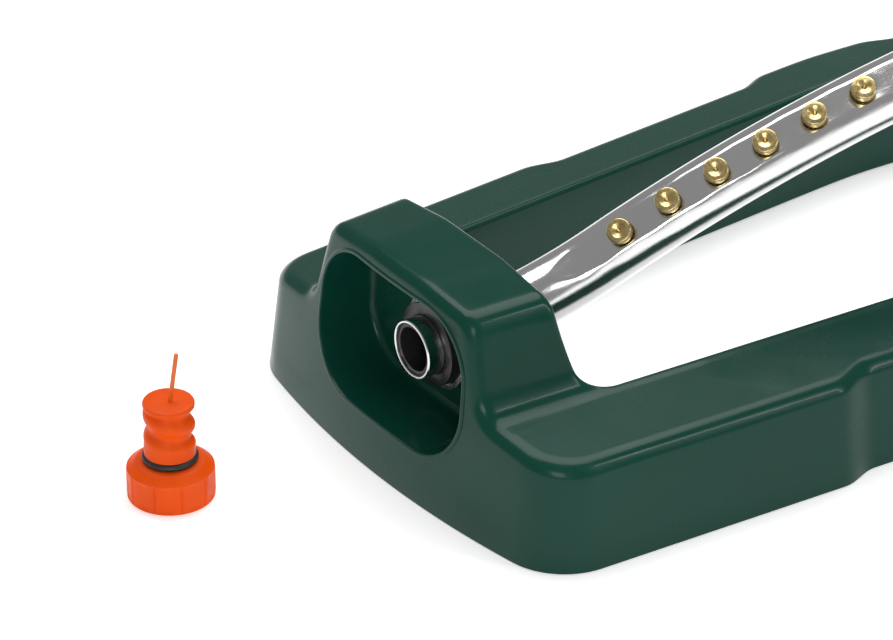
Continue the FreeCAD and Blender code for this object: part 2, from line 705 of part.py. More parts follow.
def make_range_tab(node, first, angle_sign):
    """A ring on the collar with a thumb piece."""
    start = "collar_start + 0.3 + %d * ( tab_width + 0.3 )" % first
    ring = rod(node + "_ring", "tab_ring_radius", start, "tab_width")
    thumb = block(node + "_thumb", start, "0 - tab_thumb_width / 2", "axis_height",
                  "tab_width", "tab_thumb_width", "tab_reach")
    bore = rod(node + "_bore", "collar_radius + run_gap", start + " - 1", "tab_width + 2")
    upright = cut(node + "_upright", fuse(node + "_body", ring, thumb), bore)
    doc.recompute()
    turn = size("rest_roll") + angle_sign * size("tab_angle")
    shape = upright.Shape.copy()
    shape.rotate(Vector(0, 0, size("axis_height")), Vector(1, 0, 0), turn)
    keep(node, shaped(node + "_turned", shape))


# ---------------------------------------------------------------- water motor

EAR_ANGLES = (45, 135, 225, 315)


def ears(name, radius, start, length):
    """Four rods on the ear circle."""
    rods = []
    for angle in EAR_ANGLES:
        y = "ear_circle * cos( %d deg )" % angle
        z = "axis_height + ear_circle * sin( %d deg )" % angle
        rods.append(rod("%s%d" % (name, angle), radius, start, length, y, z))
    return rods


def make_motor_cover():
    nose = rod("CoverNose", "nose_radius", "nose_start", "cover_start - nose_start + 1")
    disc = rod("CoverDisc", "case_radius", "cover_start", "cover_thickness")
    body = fuse("CoverBody", nose, disc,
                *ears("CoverEar", "ear_radius", "cover_start", "cover_thickness"))
    bore = rod("CoverBore", "journal_radius + run_gap", "nose_start - 1", "case_end - nose_start")
    holes = ears("CoverHole", "screw_radius", "cover_start - 1", "cover_thickness + 2")
    keep("motor_cover", cut("MotorCover", body, bore, *holes))


def make_case_gasket():
    start = "cover_start + cover_thickness"
    ring = rod("GasketRing", "case_radius", start, "gasket_thickness")
    bore = rod("GasketBore", "case_radius - case_wall", start + " - 1", "gasket_thickness + 2")
    keep("case_gasket", cut("CaseGasket", ring, bore))


def case_start():
    return "cover_start + cover_thickness + gasket_thickness"


def make_motor_case():
    drum = rod("CaseDrum", "case_radius", case_start(), "case_end - ( %s )" % case_start())
    body = fuse("CaseBody", drum, *ears("CaseEar", "ear_radius", case_start(), "8"))
    inside = rod("CaseInside", "case_radius - case_wall", case_start() + " - 1",
                 "case_end - case_wall - ( %s ) + 1" % case_start())
    port = rod("CasePort", "port_radius", "case_end - case_wall - 1", "case_wall + 2")
    holes = ears("CaseHole", "screw_radius", case_start() + " - 1", "8")
    keep("motor_case", cut("MotorCase", body, inside, port, *holes))


def make_case_screws():
    heads = ears("CaseHead", "screw_head_radius", "cover_start - screw_head + 0.8", "screw_head - 0.8")
    shanks = ears("CaseShank", "screw_radius", "cover_start", "cover_thickness + gasket_thickness + 6")
    screws = [fuse("CaseScrew%d" % angle, head, shank)
              for angle, head, shank in zip(EAR_ANGLES, heads, shanks)]
    keep("case_screws", group("CaseScrews", *screws))


def make_trip_ring():
    start = "nose_start + end_gap"
    ring = rod("TripRing", "trip_radius", start, "trip_width")
    prong = block("TripProng", "collar_start + end_gap", "0 - prong_width / 2",
                  "axis_height - prong_outer",
                  "nose_start - collar_start + trip_width / 2", "prong_width", "prong_outer - prong_inner")
    body = fuse("TripBody", ring, prong)
    keep("trip_ring",
         cut("TripRingDone", body,
             rod("TripBore", "nose_radius + run_gap", start + " - 1", "trip_width + 2")))


# ---------------------------------------------------------------- gears

def involute(radius, base):
    """The involute angle at a radius."""
    pressure = math.acos(min(1.0, base / radius))
    return math.tan(pressure) - pressure


def gear_shape(teeth, tip, width, start, y, bore, phase):
    """A spur gear along +X; tip is its tooth height above the pitch line, in modules."""
    module = size("gear_module")
    pitch = module * teeth / 2
    base = pitch * math.cos(math.radians(20))
    root = pitch - 1.25 * module
    top = pitch + tip * module
    half = math.pi / (2 * teeth) - size("backlash") / (2 * pitch)
    low = max(base, root)
    steps = 4
    flank = [low + (top - low) * step / steps for step in range(steps + 1)]
    points = []
    for tooth in range(teeth):
        middle = 2 * math.pi * tooth / teeth + phase
        wide = [(radius, half + involute(pitch, base) - involute(radius, base)) for radius in flank]
        side = [(root, wide[0][1])] + wide
        for radius, angle in side:
            points.append((radius, middle - angle))
        for radius, angle in reversed(side):
            points.append((radius, middle + angle))
    axis = size("axis_height")
    corners = [Vector(start, y + radius * math.cos(angle),
                      axis + radius * math.sin(angle)) for radius, angle in points]
    solid = Part.Face(Part.makePolygon(corners + corners[:1])).extrude(Vector(width, 0, 0))
    return solid.cut(Part.makeCylinder(bore, width + 2, Vector(start - 1, y, axis), Vector(1, 0, 0)))


def axle_offset():
    """Centre distance of every gear pair."""
    return size("gear_module") * (count("wheel_teeth") + count("pinion_teeth")) / 2


def axle_y():
    return "gear_module * ( wheel_teeth + pinion_teeth ) / 2"


WHEEL_TIP = 0.6
PINION_TIP = 0.9


def make_output_gear():
    gear = gear_shape(count("wheel_teeth"), WHEEL_TIP, size("gear_width"), size("output_gear_start"), 0,
                      size("gear_seat_radius"), 0)
    keep("output_gear", shaped("OutputGear", gear))


def make_reduction_gear():
    gap = math.pi / count("pinion_teeth")
    bore = size("axle_radius") + size("run_gap")
    small = gear_shape(count("pinion_teeth"), PINION_TIP,
                       size("second_stage_start") - size("output_gear_start") + 1,
                       size("output_gear_start") - 0.5, axle_offset(), bore, gap)
    large = gear_shape(count("wheel_teeth"), WHEEL_TIP, size("gear_width"), size("second_stage_start"),
                       axle_offset(), bore, 0)
    keep("reduction_gear", shaped("ReductionGear", small.fuse(large)))


def make_gear_axle():
    start = "cover_start + cover_thickness + adapter_end_play + end_gap"
    keep("gear_axle", rod("GearAxle", "axle_radius", start,
                          "gear_plate_start + gear_plate_thickness - ( %s )" % start, axle_y()))


def make_gear_plate():
    disc = rod("GearPlateDisc", "case_radius - case_wall", "gear_plate_start", "gear_plate_thickness")
    shaft = rod("GearPlateShaftHole", "axle_radius + run_gap", "gear_plate_start - 1",
                "gear_plate_thickness + 2")
    axle = rod("GearPlateAxleHole", "axle_radius", "gear_plate_start - 1",
               "gear_plate_thickness + 2", axle_y())
    ways = [rod("GearPlateWay%d" % side, "port_radius / 2", "gear_plate_start - 1",
                "gear_plate_thickness + 2",
                "0", "axis_height + %d * case_radius / 2" % side) for side in (-1, 1)]
    keep("gear_plate", cut("GearPlate", disc, shaft, axle, *ways))


def make_turbine():
    shaft = rod("TurbineShaftRod", "axle_radius", "second_stage_start - 1",
                "jet_plate_start + jet_plate_thickness - second_stage_start")
    keep("turbine_shaft", shaft)
    pinion = gear_shape(count("pinion_teeth"), PINION_TIP, size("pinion_width"),
                        size("second_stage_start") - 0.5, 0,
                        size("axle_radius"), math.pi / count("pinion_teeth"))
    keep("turbine_pinion", shaped("TurbinePinion", pinion))
    hub = rod("TurbineHub", "turbine_hub_radius", "turbine_start", "turbine_width")
    disc = rod("TurbineDisc", "turbine_disc_radius", "turbine_start", "turbine_disc")
    blades = []
    for index in range(count("blade_count")):
        blade = block("Blade%d" % index, "0", "0 - blade_thickness / 2", "turbine_hub_radius - 1",
                      "turbine_width", "blade_thickness", "turbine_radius - turbine_hub_radius + 1")
        holder = doc.addObject("Part::Compound", "BladeTurn%d" % index)
        holder.Links = [blade]
        holder.Placement = Placement(Vector(),
                                     Rotation(Vector(1, 0, 0), 360 / size("blade_count") * index))
        bind(holder, place_x=s("turbine_start"), place_z=s("axis_height"))
        blades.append(holder)
    bore = rod("TurbineBore", "axle_radius", "turbine_start - 1", "turbine_width + 2")
    keep("turbine_wheel", cut("TurbineWheel", fuse("TurbineBody", hub, disc, *blades), bore))


def make_jet_plate():
    disc = rod("JetDisc", "case_radius - case_wall", "jet_plate_start", "jet_plate_thickness")
    spigot = rod("JetSpigot", "spigot_radius", "jet_plate_start",
                 "jet_plate_thickness + end_gap + diverter_thickness")
    shaft = rod("JetShaftHole", "axle_radius + run_gap", "jet_plate_start - 1",
                "case_end - jet_plate_start")
    jets = []
    for index in range(4):
        y = "jet_circle * cos( %d deg )" % (45 + 90 * index)
        z = "axis_height + jet_circle * sin( %d deg )" % (45 + 90 * index)
        jets.append(rod("Jet%d" % index, "jet_radius", "jet_plate_start - 1",
                        "jet_plate_thickness + 2", y, z))
    keep("jet_plate", cut("JetPlate", fuse("JetBody", disc, spigot), shaft, *jets))


def make_diverter():
    start = "jet_plate_start + jet_plate_thickness + end_gap"
    wing = block("DiverterWing", start, "0 - spigot_radius", "axis_height - diverter_radius",
                 "diverter_thickness", "2 * spigot_radius", "2 * diverter_radius")
    hub = rod("DiverterHub", "spigot_radius + 3", start, "diverter_thickness")
    bore = rod("DiverterBore", "spigot_radius + run_gap", start + " - 1", "diverter_thickness + 2")
    keep("flow_diverter", cut("FlowDiverter", fuse("DiverterBody", wing, hub), bore))


# ---------------------------------------------------------------- hose inlet

def make_inlet_stem():
    root = rod("StemRoot", "stem_radius", "case_end", "stem_step - case_end")
    journal = rod("StemJournal", "stem_journal_radius", "stem_step - 1",
                  "stem_lip_start - stem_step + 2")
    lip = rod("StemLip", "stem_lip_radius", "stem_lip_start", "stem_lip")
    bore = rod("StemBore", "port_radius", "case_end - 1", "nut_end - case_end")
    keep("inlet_stem", cut("InletStem", fuse("StemBody", root, journal, lip), bore))


def make_hose_nut():
    body = rod("NutBody", "nut_radius", "nut_start", "nut_end - nut_start")
    ribs = []
    for index in range(count("nut_rib_count")):
        angle = 360 / size("nut_rib_count") * index
        y = "( nut_radius - nut_rib_radius / 2 ) * cos( %g deg )" % angle
        z = "axis_height + ( nut_radius - nut_rib_radius / 2 ) * sin( %g deg )" % angle
        ribs.append(rod("NutRib%d" % index, "nut_rib_radius", "nut_start + 2",
                        "nut_end - nut_start - 6", y, z))
    swivel = rod("NutSwivelBore", "stem_journal_radius + run_gap", "nut_start - 1",
                 "nut_end - nut_start")
    room = rod("NutRoom", "nut_room_radius", "nut_start + nut_collar",
               "nut_end - hose_thread_length - nut_start - nut_collar")
    thread = rod("NutThreadBore", "hose_thread_radius", "nut_start + nut_collar", "nut_end - nut_start")
    keep("hose_nut", cut("HoseNut", fuse("NutFull", body, *ribs), swivel, room, thread))


def washer_start():
    return "stem_lip_start + stem_lip + end_gap"


def make_hose_washer():
    ring = rod("WasherRing", "nut_room_radius", washer_start(), "washer_thickness")
    bore = rod("WasherBore", "port_radius", washer_start() + " - 1", "washer_thickness + 2")
    keep("hose_washer", cut("HoseWasher", ring, bore))


def make_filter_screen():
    start = washer_start() + " + washer_thickness"
    rim = cut("FilterRim", rod("FilterDisc", "hose_thread_radius", start, "filter_thickness"),
              rod("FilterHole", "hose_thread_radius - filter_ring", start + " - 1",
                  "filter_thickness + 2"))
    bars = []
    for index in range(-3, 4):
        across = "%d * hose_thread_radius / 4" % index
        bars.append(block("FilterBarY%d" % (index + 3), start, "0 - hose_thread_radius + 1",
                          "axis_height - 0.4 + " + across,
                          "filter_thickness", "2 * hose_thread_radius - 2", "0.8"))
        bars.append(block("FilterBarZ%d" % (index + 3), start, "0 - 0.4 + " + across,
                          "axis_height - hose_thread_radius + 1",
                          "filter_thickness", "0.8", "2 * hose_thread_radius - 2"))
    grid = doc.addObject("Part::MultiCommon", "FilterGrid")
    grid.Shapes = [fuse("FilterBars", *bars),
                   rod("FilterRound", "hose_thread_radius - 1", start, "filter_thickness")]
    keep("filter_screen", fuse("FilterScreen", rim, grid))


# ---------------------------------------------------------------- clean-out plug

def make_clean_out_plug():
    side = post("KnobSide", "knob_radius", "plug_x", "plug_y", "0", "knob_height")
    shoulder = doc.addObject("Part::Cone", "KnobShoulder")
    bind(shoulder, Radius1=s("knob_radius"), Radius2=s("knob_top_radius"), Height=s("knob_shoulder"),
         place_x=s("plug_x"), place_y=s("plug_y"), place_z=s("knob_height"))
    core = post("PlugCore", "plug_root_radius", "plug_x", "plug_y", "knob_height",
                "plug_top - knob_height")
    flutes = []
    for index in range(count("flute_count")):
        angle = 360 / size("flute_count") * (index + 0.5)
        x = "plug_x + ( knob_radius + flute_radius - flute_depth ) * cos( %g deg )" % angle
        y = "plug_y + ( knob_radius + flute_radius - flute_depth ) * sin( %g deg )" % angle
        flutes.append(post("Flute%d" % index, "flute_radius", x, y, "0 - 1",
                           "knob_height + knob_shoulder + 2"))
    rings = []
    for index in range(2):
        ring = post("ThreadRing%d" % index, "plug_thread_radius", "plug_x", "plug_y",
                    "plug_top - plug_thread_pitch / 2 - %d * plug_thread_pitch" % index, "plug_thread_pitch / 2")
        rings.append(ring)
    seat = post("RingSeat", "plug_thread_radius", "plug_x", "plug_y",
                "knob_height + knob_shoulder + 2 * o_ring_radius", "plug_thread_pitch / 4")
    body = fuse("PlugBody", side, shoulder, core, seat, *rings)
    hole = pin_rod("PinHole")
    keep("clean_out_plug", cut("CleanOutPlug", body, fuse("KnobFlutes", *flutes), hole))
    keep("cleaning_pin", pin_rod("CleaningPin"))


def pin_rod(name):
    """The leaning cleaning pin, its foot inside the plug."""
    obj = doc.addObject("Part::Cylinder", name)
    obj.Placement = Placement(Vector(), Rotation(Vector(0.6, 0.8, 0), size("pin_lean")))
    bind(obj, Radius=s("pin_radius"), Height=s("pin_depth + pin_length"))
    bind(obj, place_x=s("plug_x"), place_y=s("plug_y"), place_z=s("plug_top - pin_depth"))
    return obj


def make_plug_o_ring():
    ring = doc.addObject("Part::Torus", "PlugORing")
    bind(ring, Radius1=s("plug_root_radius + o_ring_radius"), Radius2=s("o_ring_radius"))
    bind(ring, place_x=s("plug_x"), place_y=s("plug_y"),
         place_z=s("knob_height + knob_shoulder + o_ring_radius"))
    keep("plug_o_ring", ring)


# ---------------------------------------------------------------- build, check, write

make_base_frame()
make_base_plate()
make_tube_bush()
make_bush_clip()
make_spray_tube()
make_spray_nozzles()
make_plug_socket()
make_drive_adapter()
make_shaft_seal()
make_range_tab("range_tab_left", 0, 1)
make_range_tab("range_tab_right", 1, -1)
make_motor_cover()
make_case_gasket()
make_motor_case()
make_case_screws()
make_trip_ring()
make_output_gear()
make_reduction_gear()
make_gear_axle()
make_gear_plate()
make_turbine()
make_jet_plate()
make_diverter()
make_inlet_stem()
make_hose_nut()
make_hose_washer()
make_filter_screen()
make_clean_out_plug()
make_plug_o_ring()
doc.recompute()

failed = [obj.Name for obj in doc.Objects if "Invalid" in obj.State or "Error" in obj.State]
for node, obj in parts.items():
    if obj.Shape.isNull() or not obj.Shape.isValid() or not obj.Shape.Solids:
        failed.append(node)
if failed:
    raise RuntimeError("failed: " + ", ".join(failed))

os.makedirs("parts", exist_ok=True)
for node, obj in parts.items():
    obj.Shape.exportStep("parts/%s.step" % node)
    box = obj.Shape.BoundBox
    print("%-18s solids %2d volume %9.1f  x %7.1f %7.1f  y %6.1f %6.1f  z %6.1f %6.1f" % (
        node, len(obj.Shape.Solids), obj.Shape.Volume,
        box.XMin, box.XMax, box.YMin, box.YMax, box.ZMin, box.ZMax))
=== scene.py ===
import json
import math

import bpy
from mathutils import Matrix, Vector


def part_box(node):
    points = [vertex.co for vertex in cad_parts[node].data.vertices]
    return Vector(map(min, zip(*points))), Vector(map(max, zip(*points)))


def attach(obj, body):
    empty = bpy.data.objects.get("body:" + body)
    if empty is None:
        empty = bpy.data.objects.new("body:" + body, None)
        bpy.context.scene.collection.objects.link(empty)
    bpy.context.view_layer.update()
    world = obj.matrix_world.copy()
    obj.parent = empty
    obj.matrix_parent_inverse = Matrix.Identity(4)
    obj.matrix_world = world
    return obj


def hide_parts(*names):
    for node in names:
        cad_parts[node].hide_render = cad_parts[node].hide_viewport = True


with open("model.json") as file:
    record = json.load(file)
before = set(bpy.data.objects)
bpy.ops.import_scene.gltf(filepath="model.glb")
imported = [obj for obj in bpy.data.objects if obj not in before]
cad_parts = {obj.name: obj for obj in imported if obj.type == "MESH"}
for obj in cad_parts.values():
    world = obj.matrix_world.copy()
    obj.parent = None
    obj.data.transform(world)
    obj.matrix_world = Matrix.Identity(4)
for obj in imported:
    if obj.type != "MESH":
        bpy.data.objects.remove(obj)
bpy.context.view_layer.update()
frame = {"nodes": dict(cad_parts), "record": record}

MM = 0.001

# ---------------------------------------------------------------- sizes, in metres

FRAME_LOW, FRAME_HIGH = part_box("base_frame")
BUSH_LOW, BUSH_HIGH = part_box("tube_bush")
PLUG_LOW, PLUG_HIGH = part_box("clean_out_plug")

PLUG_END = -FRAME_LOW.x
HOSE_END = FRAME_HIGH.x
HUB_TOP = FRAME_HIGH.z
AXIS = (BUSH_LOW.z + BUSH_HIGH.z) / 2

WALL = 3 * MM
SPLAY_ANGLE = math.radians(3.97)
SPLAY = math.tan(SPLAY_ANGLE)
MIDDLE_BEND = 10.4 * MM
SIDE_REACH = FRAME_HIGH.y + SPLAY * MIDDLE_BEND
SIDE_DRAFT = math.tan(math.radians(7.5))
END_DRAFT = math.tan(math.radians(6))
END_BOW = 358 * MM
OUTER_CORNER = 22 * MM
EDGE_ROUND = 4 * MM
FOOT_ROUND = 0.6 * MM

RAIL_WIDTH = 33.9 * MM
OPENING_PLUG = 205 * MM
OPENING_HOSE = 214 * MM
OPENING_CORNER = 18 * MM
OPENING_EDGE_ROUND = 2 * MM

HUB_CROWN_HALF = 15 * MM
HUB_CROWN_FALL = math.radians(7)
HUB_CROWN_ROUND = 40 * MM
HUB_HALF = 39.5 * MM
HUB_SLOPE = math.radians(74)
HUB_ROUND = 8 * MM
HUB_FOOT_ROUND = 10 * MM
RAIL_HEIGHT = 39.5 * MM
RAIL_FALL = math.radians(10)

GRIP_START = 21 * MM
GRIP_END = 128 * MM
GRIP_RUN_OUT = 14 * MM
GRIP_DEPTH = 4.3 * MM

RECESS_LOW = 17.7 * MM
RECESS_HIGH = 66 * MM
RECESS_TOP_HALF = 36.5 * MM
RECESS_LOW_HALF = 38.8 * MM
RECESS_CORNER = 20 * MM
RECESS_BACK = 218 * MM
BUSH_RADIUS = 13.5 * MM
BOSS_RADIUS = 17 * MM
NOSE_OPENING = 15.5 * MM
STEM_OPENING = 8.1 * MM

TUBE_RADIUS = 10.2 * MM
TUBE_END_RADIUS = 9.5 * MM
TUBE_WALL = 0.9 * MM
TUBE_PLUG_END = 228.7 * MM
TUBE_DRIVE_END = 220 * MM
ARCH_RADIUS = 247 * MM
ARCH_ANGLE = math.radians(41.3)
PLUG_BEND = 82.4 * MM
DRIVE_BEND = 50 * MM
REST_ROLL = math.radians(32)
FLAT_DEPTH = 8.9 * MM
NOZZLES = 21
NOZZLE_PITCH = 16.8 * MM
NOZZLE_SHIFT = 1.6 * MM
NOZZLE_TIP = 12.4 * MM
FLAT_LEAD = 27 * MM


# ---------------------------------------------------------------- small helpers

def link(piece):
    bpy.context.scene.collection.objects.link(piece)
    return piece


def only(piece):
    """Makes one piece the selected and active one."""
    bpy.ops.object.select_all(action="DESELECT")
    piece.select_set(True)
    bpy.context.view_layer.objects.active = piece
    return piece


def skin(name, rings, closed_way=False, cap_start=False, cap_end=False, uv=False):
    """A mesh of rings of points, each ring closed and as long as the next."""
    count = len(rings[0])
    points = [point for ring in rings for point in ring]
    faces = []
    last = len(rings) if closed_way else len(rings) - 1
    for row in range(last):
        below, above = row * count, (row + 1) % len(rings) * count
        for step in range(count):
            turn = (step + 1) % count
            faces.append((below + step, below + turn, above + turn, above + step))
    if cap_start:
        faces.append(tuple(reversed(range(count))))
    if cap_end:
        faces.append(tuple(range((len(rings) - 1) * count, len(rings) * count)))
    mesh = bpy.data.meshes.new(name)
    mesh.from_pydata(points, [], faces)
    if uv:
        layer = mesh.uv_layers.new(name="along_and_round")
        spots = []
        for row in range(last):
            for step in range(count):
                spots += [(row, step), (row, step + 1), (row + 1, step + 1), (row + 1, step)]
        for loop, (row, step) in zip(layer.data, spots):
            loop.uv = (row / last, step / count)
    piece = link(bpy.data.objects.new(name, mesh))
    only(piece)
    bpy.ops.object.mode_set(mode="EDIT")
    bpy.ops.mesh.select_all(action="SELECT")
    bpy.ops.mesh.normals_make_consistent(inside=False)
    bpy.ops.object.mode_set(mode="OBJECT")
    return piece


def smoothed(piece, degrees=35):
    only(piece)
    bpy.ops.object.shade_smooth_by_angle(angle=math.radians(degrees))
    return piece


def applied(piece, kind, **settings):
    """Adds a modifier and applies it."""
    only(piece)
    modifier = piece.modifiers.new(kind.lower(), kind)
    for key, value in settings.items():
        setattr(modifier, key, value)
    bpy.ops.object.modifier_apply(modifier=modifier.name)
    return piece


def fitted(piece, body, slot_name, finish, *nodes):
    """Gives a piece its finish, its body and the CAD nodes it stands for."""
    piece.data.materials.clear()
    piece.data.materials.append(finish)
    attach(piece, body)
    if nodes:
        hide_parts(*nodes)
    return piece


def ease(value):
    """0 to 1 with soft ends."""
    value = min(1.0, max(0.0, value))
    return value * value * (3 - 2 * value)


# ---------------------------------------------------------------- finishes

class Finish:
    """A procedural material that is put together step by step."""

    def __init__(self, name, colour, roughness, metallic=0.0):
        self.material = bpy.data.materials.new(name)
        self.material.use_nodes = True
        self.nodes = self.material.node_tree.nodes
        self.links = self.material.node_tree.links
        self.shader = self.nodes["Principled BSDF"]
        self.shader.inputs["Metallic"].default_value = metallic
        self.coords = self.nodes.new("ShaderNodeTexCoord")
        self.colour = (*colour, 1.0)
        self.shader.inputs["Base Color"].default_value = self.colour
        self.shader.inputs["Roughness"].default_value = roughness
        self.roughness = roughness
        self.bump_end = None

    def join(self, start, end):
        self.links.new(start, end)

    def pattern(self, scale, detail=3.0, stretch=None, source="Object", seed=0.0):
        """Noise at a scale in cycles per metre; stretch squeezes it along an axis."""
        place = self.nodes.new("ShaderNodeMapping")
        place.inputs["Location"].default_value = (seed, seed * 0.7, seed * 1.3)
        if stretch:
            place.inputs["Scale"].default_value = stretch
        noise = self.nodes.new("ShaderNodeTexNoise")
        noise.inputs["Scale"].default_value = scale
        noise.inputs["Detail"].default_value = detail
        self.join(self.coords.outputs[source], place.inputs["Vector"])
        self.join(place.outputs["Vector"], noise.inputs["Vector"])
        return noise.outputs["Fac"]

    def tint(self, fac, other, low=0.35, high=0.7):
        """Colour drifts towards another one where the pattern is strong."""
        ramp = self.nodes.new("ShaderNodeValToRGB")
        ramp.color_ramp.elements[0].position = low
        ramp.color_ramp.elements[0].color = self.colour
        ramp.color_ramp.elements[1].position = high
        ramp.color_ramp.elements[1].color = (*other, 1.0)
        self.join(fac, ramp.inputs["Fac"])
        self.join(ramp.outputs["Color"], self.shader.inputs["Base Color"])

    def sheen_range(self, fac, low, high):
        """Roughness runs between two values with the pattern."""
        spread = self.nodes.new("ShaderNodeMapRange")
        spread.inputs["From Min"].default_value = 0.3
        spread.inputs["From Max"].default_value = 0.7
        spread.inputs["To Min"].default_value = low
        spread.inputs["To Max"].default_value = high
        self.join(fac, spread.inputs["Value"])
        self.join(spread.outputs["Result"], self.shader.inputs["Roughness"])

    def bump(self, fac, depth):
        """A relief of that depth in metres; several are chained."""
        relief = self.nodes.new("ShaderNodeBump")
        relief.inputs["Strength"].default_value = 1.0
        relief.inputs["Distance"].default_value = depth
        self.join(fac, relief.inputs["Height"])
        if self.bump_end is not None:
            self.join(self.bump_end, relief.inputs["Normal"])
        self.bump_end = relief.outputs["Normal"]
        self.join(self.bump_end, self.shader.inputs["Normal"])

    def coat(self, weight, roughness):
        self.shader.inputs["Coat Weight"].default_value = weight
        self.shader.inputs["Coat Roughness"].default_value = roughness


def glossy_green():
    made = Finish("green_moulded_gloss", (0.0024, 0.043, 0.0285), 0.22)
    made.tint(made.pattern(9, 4), (0.0032, 0.050, 0.033))
    made.sheen_range(made.pattern(60, 5, seed=3.1), 0.18, 0.3)
    made.bump(made.pattern(55, 2, seed=1.7), 0.00005)
    made.bump(made.pattern(900, 2, seed=5.2), 0.000003)
    made.shader.inputs["Specular IOR Level"].default_value = 0.16
    made.coat(0.08, 0.04)
    return made.material


def black_moulding():
    made = Finish("black_moulding", (0.008, 0.008, 0.0085), 0.35)
    made.tint(made.pattern(80, 3), (0.014, 0.014, 0.014))
    made.sheen_range(made.pattern(200, 4, seed=2.0), 0.28, 0.45)
    made.bump(made.pattern(2500, 2), 0.00001)
    return made.material


def grey_gearing():
    made = Finish("grey_gearing", (0.33, 0.34, 0.34), 0.4)
    made.tint(made.pattern(70, 3), (0.40, 0.40, 0.39))
    made.sheen_range(made.pattern(300, 4, seed=1.0), 0.35, 0.5)
    made.bump(made.pattern(2500, 2), 0.000008)
    return made.material


def orange_moulding():
    made = Finish("orange_moulding", (0.82, 0.086, 0.0012), 0.5)
    made.tint(made.pattern(120, 4), (0.76, 0.074, 0.001))
    made.sheen_range(made.pattern(260, 4, seed=2.4), 0.36, 0.52)
    made.bump(made.pattern(1900, 3), 0.000018)
    made.shader.inputs["Specular IOR Level"].default_value = 0.15
    return made.material


def orange_pin_plastic():
    made = Finish("orange_pin_plastic", (0.80, 0.15, 0.012), 0.38)
    made.tint(made.pattern(300, 3), (0.74, 0.12, 0.01))
    made.bump(made.pattern(2400, 2), 0.00001)
    return made.material


def drawn_aluminium():
    made = Finish("drawn_aluminium", (0.80, 0.80, 0.79), 0.12, 1.0)
    made.tint(made.pattern(14, 5), (0.72, 0.725, 0.72))
    grain = made.pattern(40, 6, stretch=(1.2, 26, 1), source="UV", seed=4.0)
    made.sheen_range(grain, 0.08, 0.17)
    made.bump(grain, 0.000012)
    made.bump(made.pattern(120, 3, seed=6.0), 0.00004)
    return made.material


def turned_brass():
    made = Finish("turned_brass", (0.70, 0.55, 0.26), 0.24, 1.0)
    made.tint(made.pattern(420, 4), (0.58, 0.43, 0.18))
    made.sheen_range(made.pattern(900, 4, seed=1.5), 0.18, 0.36)
    made.bump(made.pattern(2600, 3), 0.00002)
    return made.material


def nitrile_rubber():
    made = Finish("nitrile_rubber", (0.012, 0.012, 0.013), 0.42)
    made.tint(made.pattern(260, 3), (0.02, 0.02, 0.02))
    made.sheen_range(made.pattern(500, 4, seed=3.0), 0.34, 0.55)
    made.bump(made.pattern(2200, 3), 0.000015)
    return made.material


def plated_steel():
    made = Finish("plated_steel", (0.60, 0.60, 0.58), 0.28, 1.0)
    made.tint(made.pattern(200, 4), (0.50, 0.50, 0.48))
    made.sheen_range(made.pattern(500, 4, seed=2.0), 0.2, 0.4)
    made.bump(made.pattern(1800, 3), 0.00001)
    return made.material


FINISHES = {
    "green_plastic": glossy_green(),
    "black_plastic": black_moulding(),
    "grey_plastic": grey_gearing(),
    "orange_plastic": orange_moulding(),
    "orange_pin": orange_pin_plastic(),
    "polished_aluminium": drawn_aluminium(),
    "nozzle_brass": turned_brass(),
    "black_rubber": nitrile_rubber(),
    "plated_steel": plated_steel(),
}


# ---------------------------------------------------------------- frame: where its surfaces lie

def side_half(x):
    """Half the frame's width at the ground."""
    return SIDE_REACH - SPLAY * math.hypot(x, MIDDLE_BEND)


def blended(at, corner, rise_before, rise_after, radius):
    """Height of two sloping lines that meet at a corner, with an arc between them."""
    across, height = corner
    turn = rise_after - rise_before
    reach = radius * math.tan(abs(turn) / 2)
    start = across - reach * math.cos(rise_before)
    stop = across + reach * math.cos(rise_after)
    if at <= start:
        return height + (at - across) * math.tan(rise_before)
    if at >= stop:
        return height + (at - across) * math.tan(rise_after)
    side = -1 if turn > 0 else 1
    centre_across = start + side * radius * math.sin(rise_before)
    centre_height = height - reach * math.sin(rise_before) - side * radius * math.cos(rise_before)
    return centre_height + side * math.sqrt(radius ** 2 - (at - centre_across) ** 2)


INNER_EDGE = SIDE_REACH - SPLAY * OPENING_PLUG - RAIL_WIDTH
SHOULDER_HEIGHT = HUB_TOP - (HUB_HALF - HUB_CROWN_HALF) * math.tan(HUB_CROWN_FALL)
TOP_LINES = [(0.0, HUB_TOP, 0.0), (HUB_CROWN_HALF, HUB_TOP, -HUB_CROWN_FALL),
             (HUB_HALF, SHOULDER_HEIGHT, -HUB_SLOPE), (INNER_EDGE, RAIL_HEIGHT, -RAIL_FALL)]
TOP_ROUNDS = [(HUB_CROWN_ROUND, -1), (HUB_ROUND, -1), (HUB_FOOT_ROUND, 1)]


def meeting(index, under):
    """Where two neighbouring lines of the top profile cross, once both are lowered squarely."""
    heights = []
    for across, height, rise in TOP_LINES[index:index + 2]:
        heights.append((height - across * math.tan(rise) - under / math.cos(rise), math.tan(rise)))
    (first, first_rise), (second, second_rise) = heights
    across = (second - first) / (first_rise - second_rise)
    return across, first + first_rise * across


def crown(spot, under=0.0):
    """Height of the frame's top surface, or of a surface some way squarely under it."""
    across = abs(spot.y) + (abs(spot.x) - OPENING_PLUG) * SPLAY
    corners = [meeting(index, under) for index in range(3)]
    index = 0
    while index < 2 and across > (corners[index][0] + corners[index + 1][0]) / 2:
        index += 1
    radius, side = TOP_ROUNDS[index]
    return blended(across, corners[index], TOP_LINES[index][2], TOP_LINES[index + 1][2],
                   radius + side * under)


def draft_at(normal):
    """How much a wall leans in, ends less than sides."""
    return SIDE_DRAFT + (END_DRAFT - SIDE_DRAFT) * normal.x ** 2


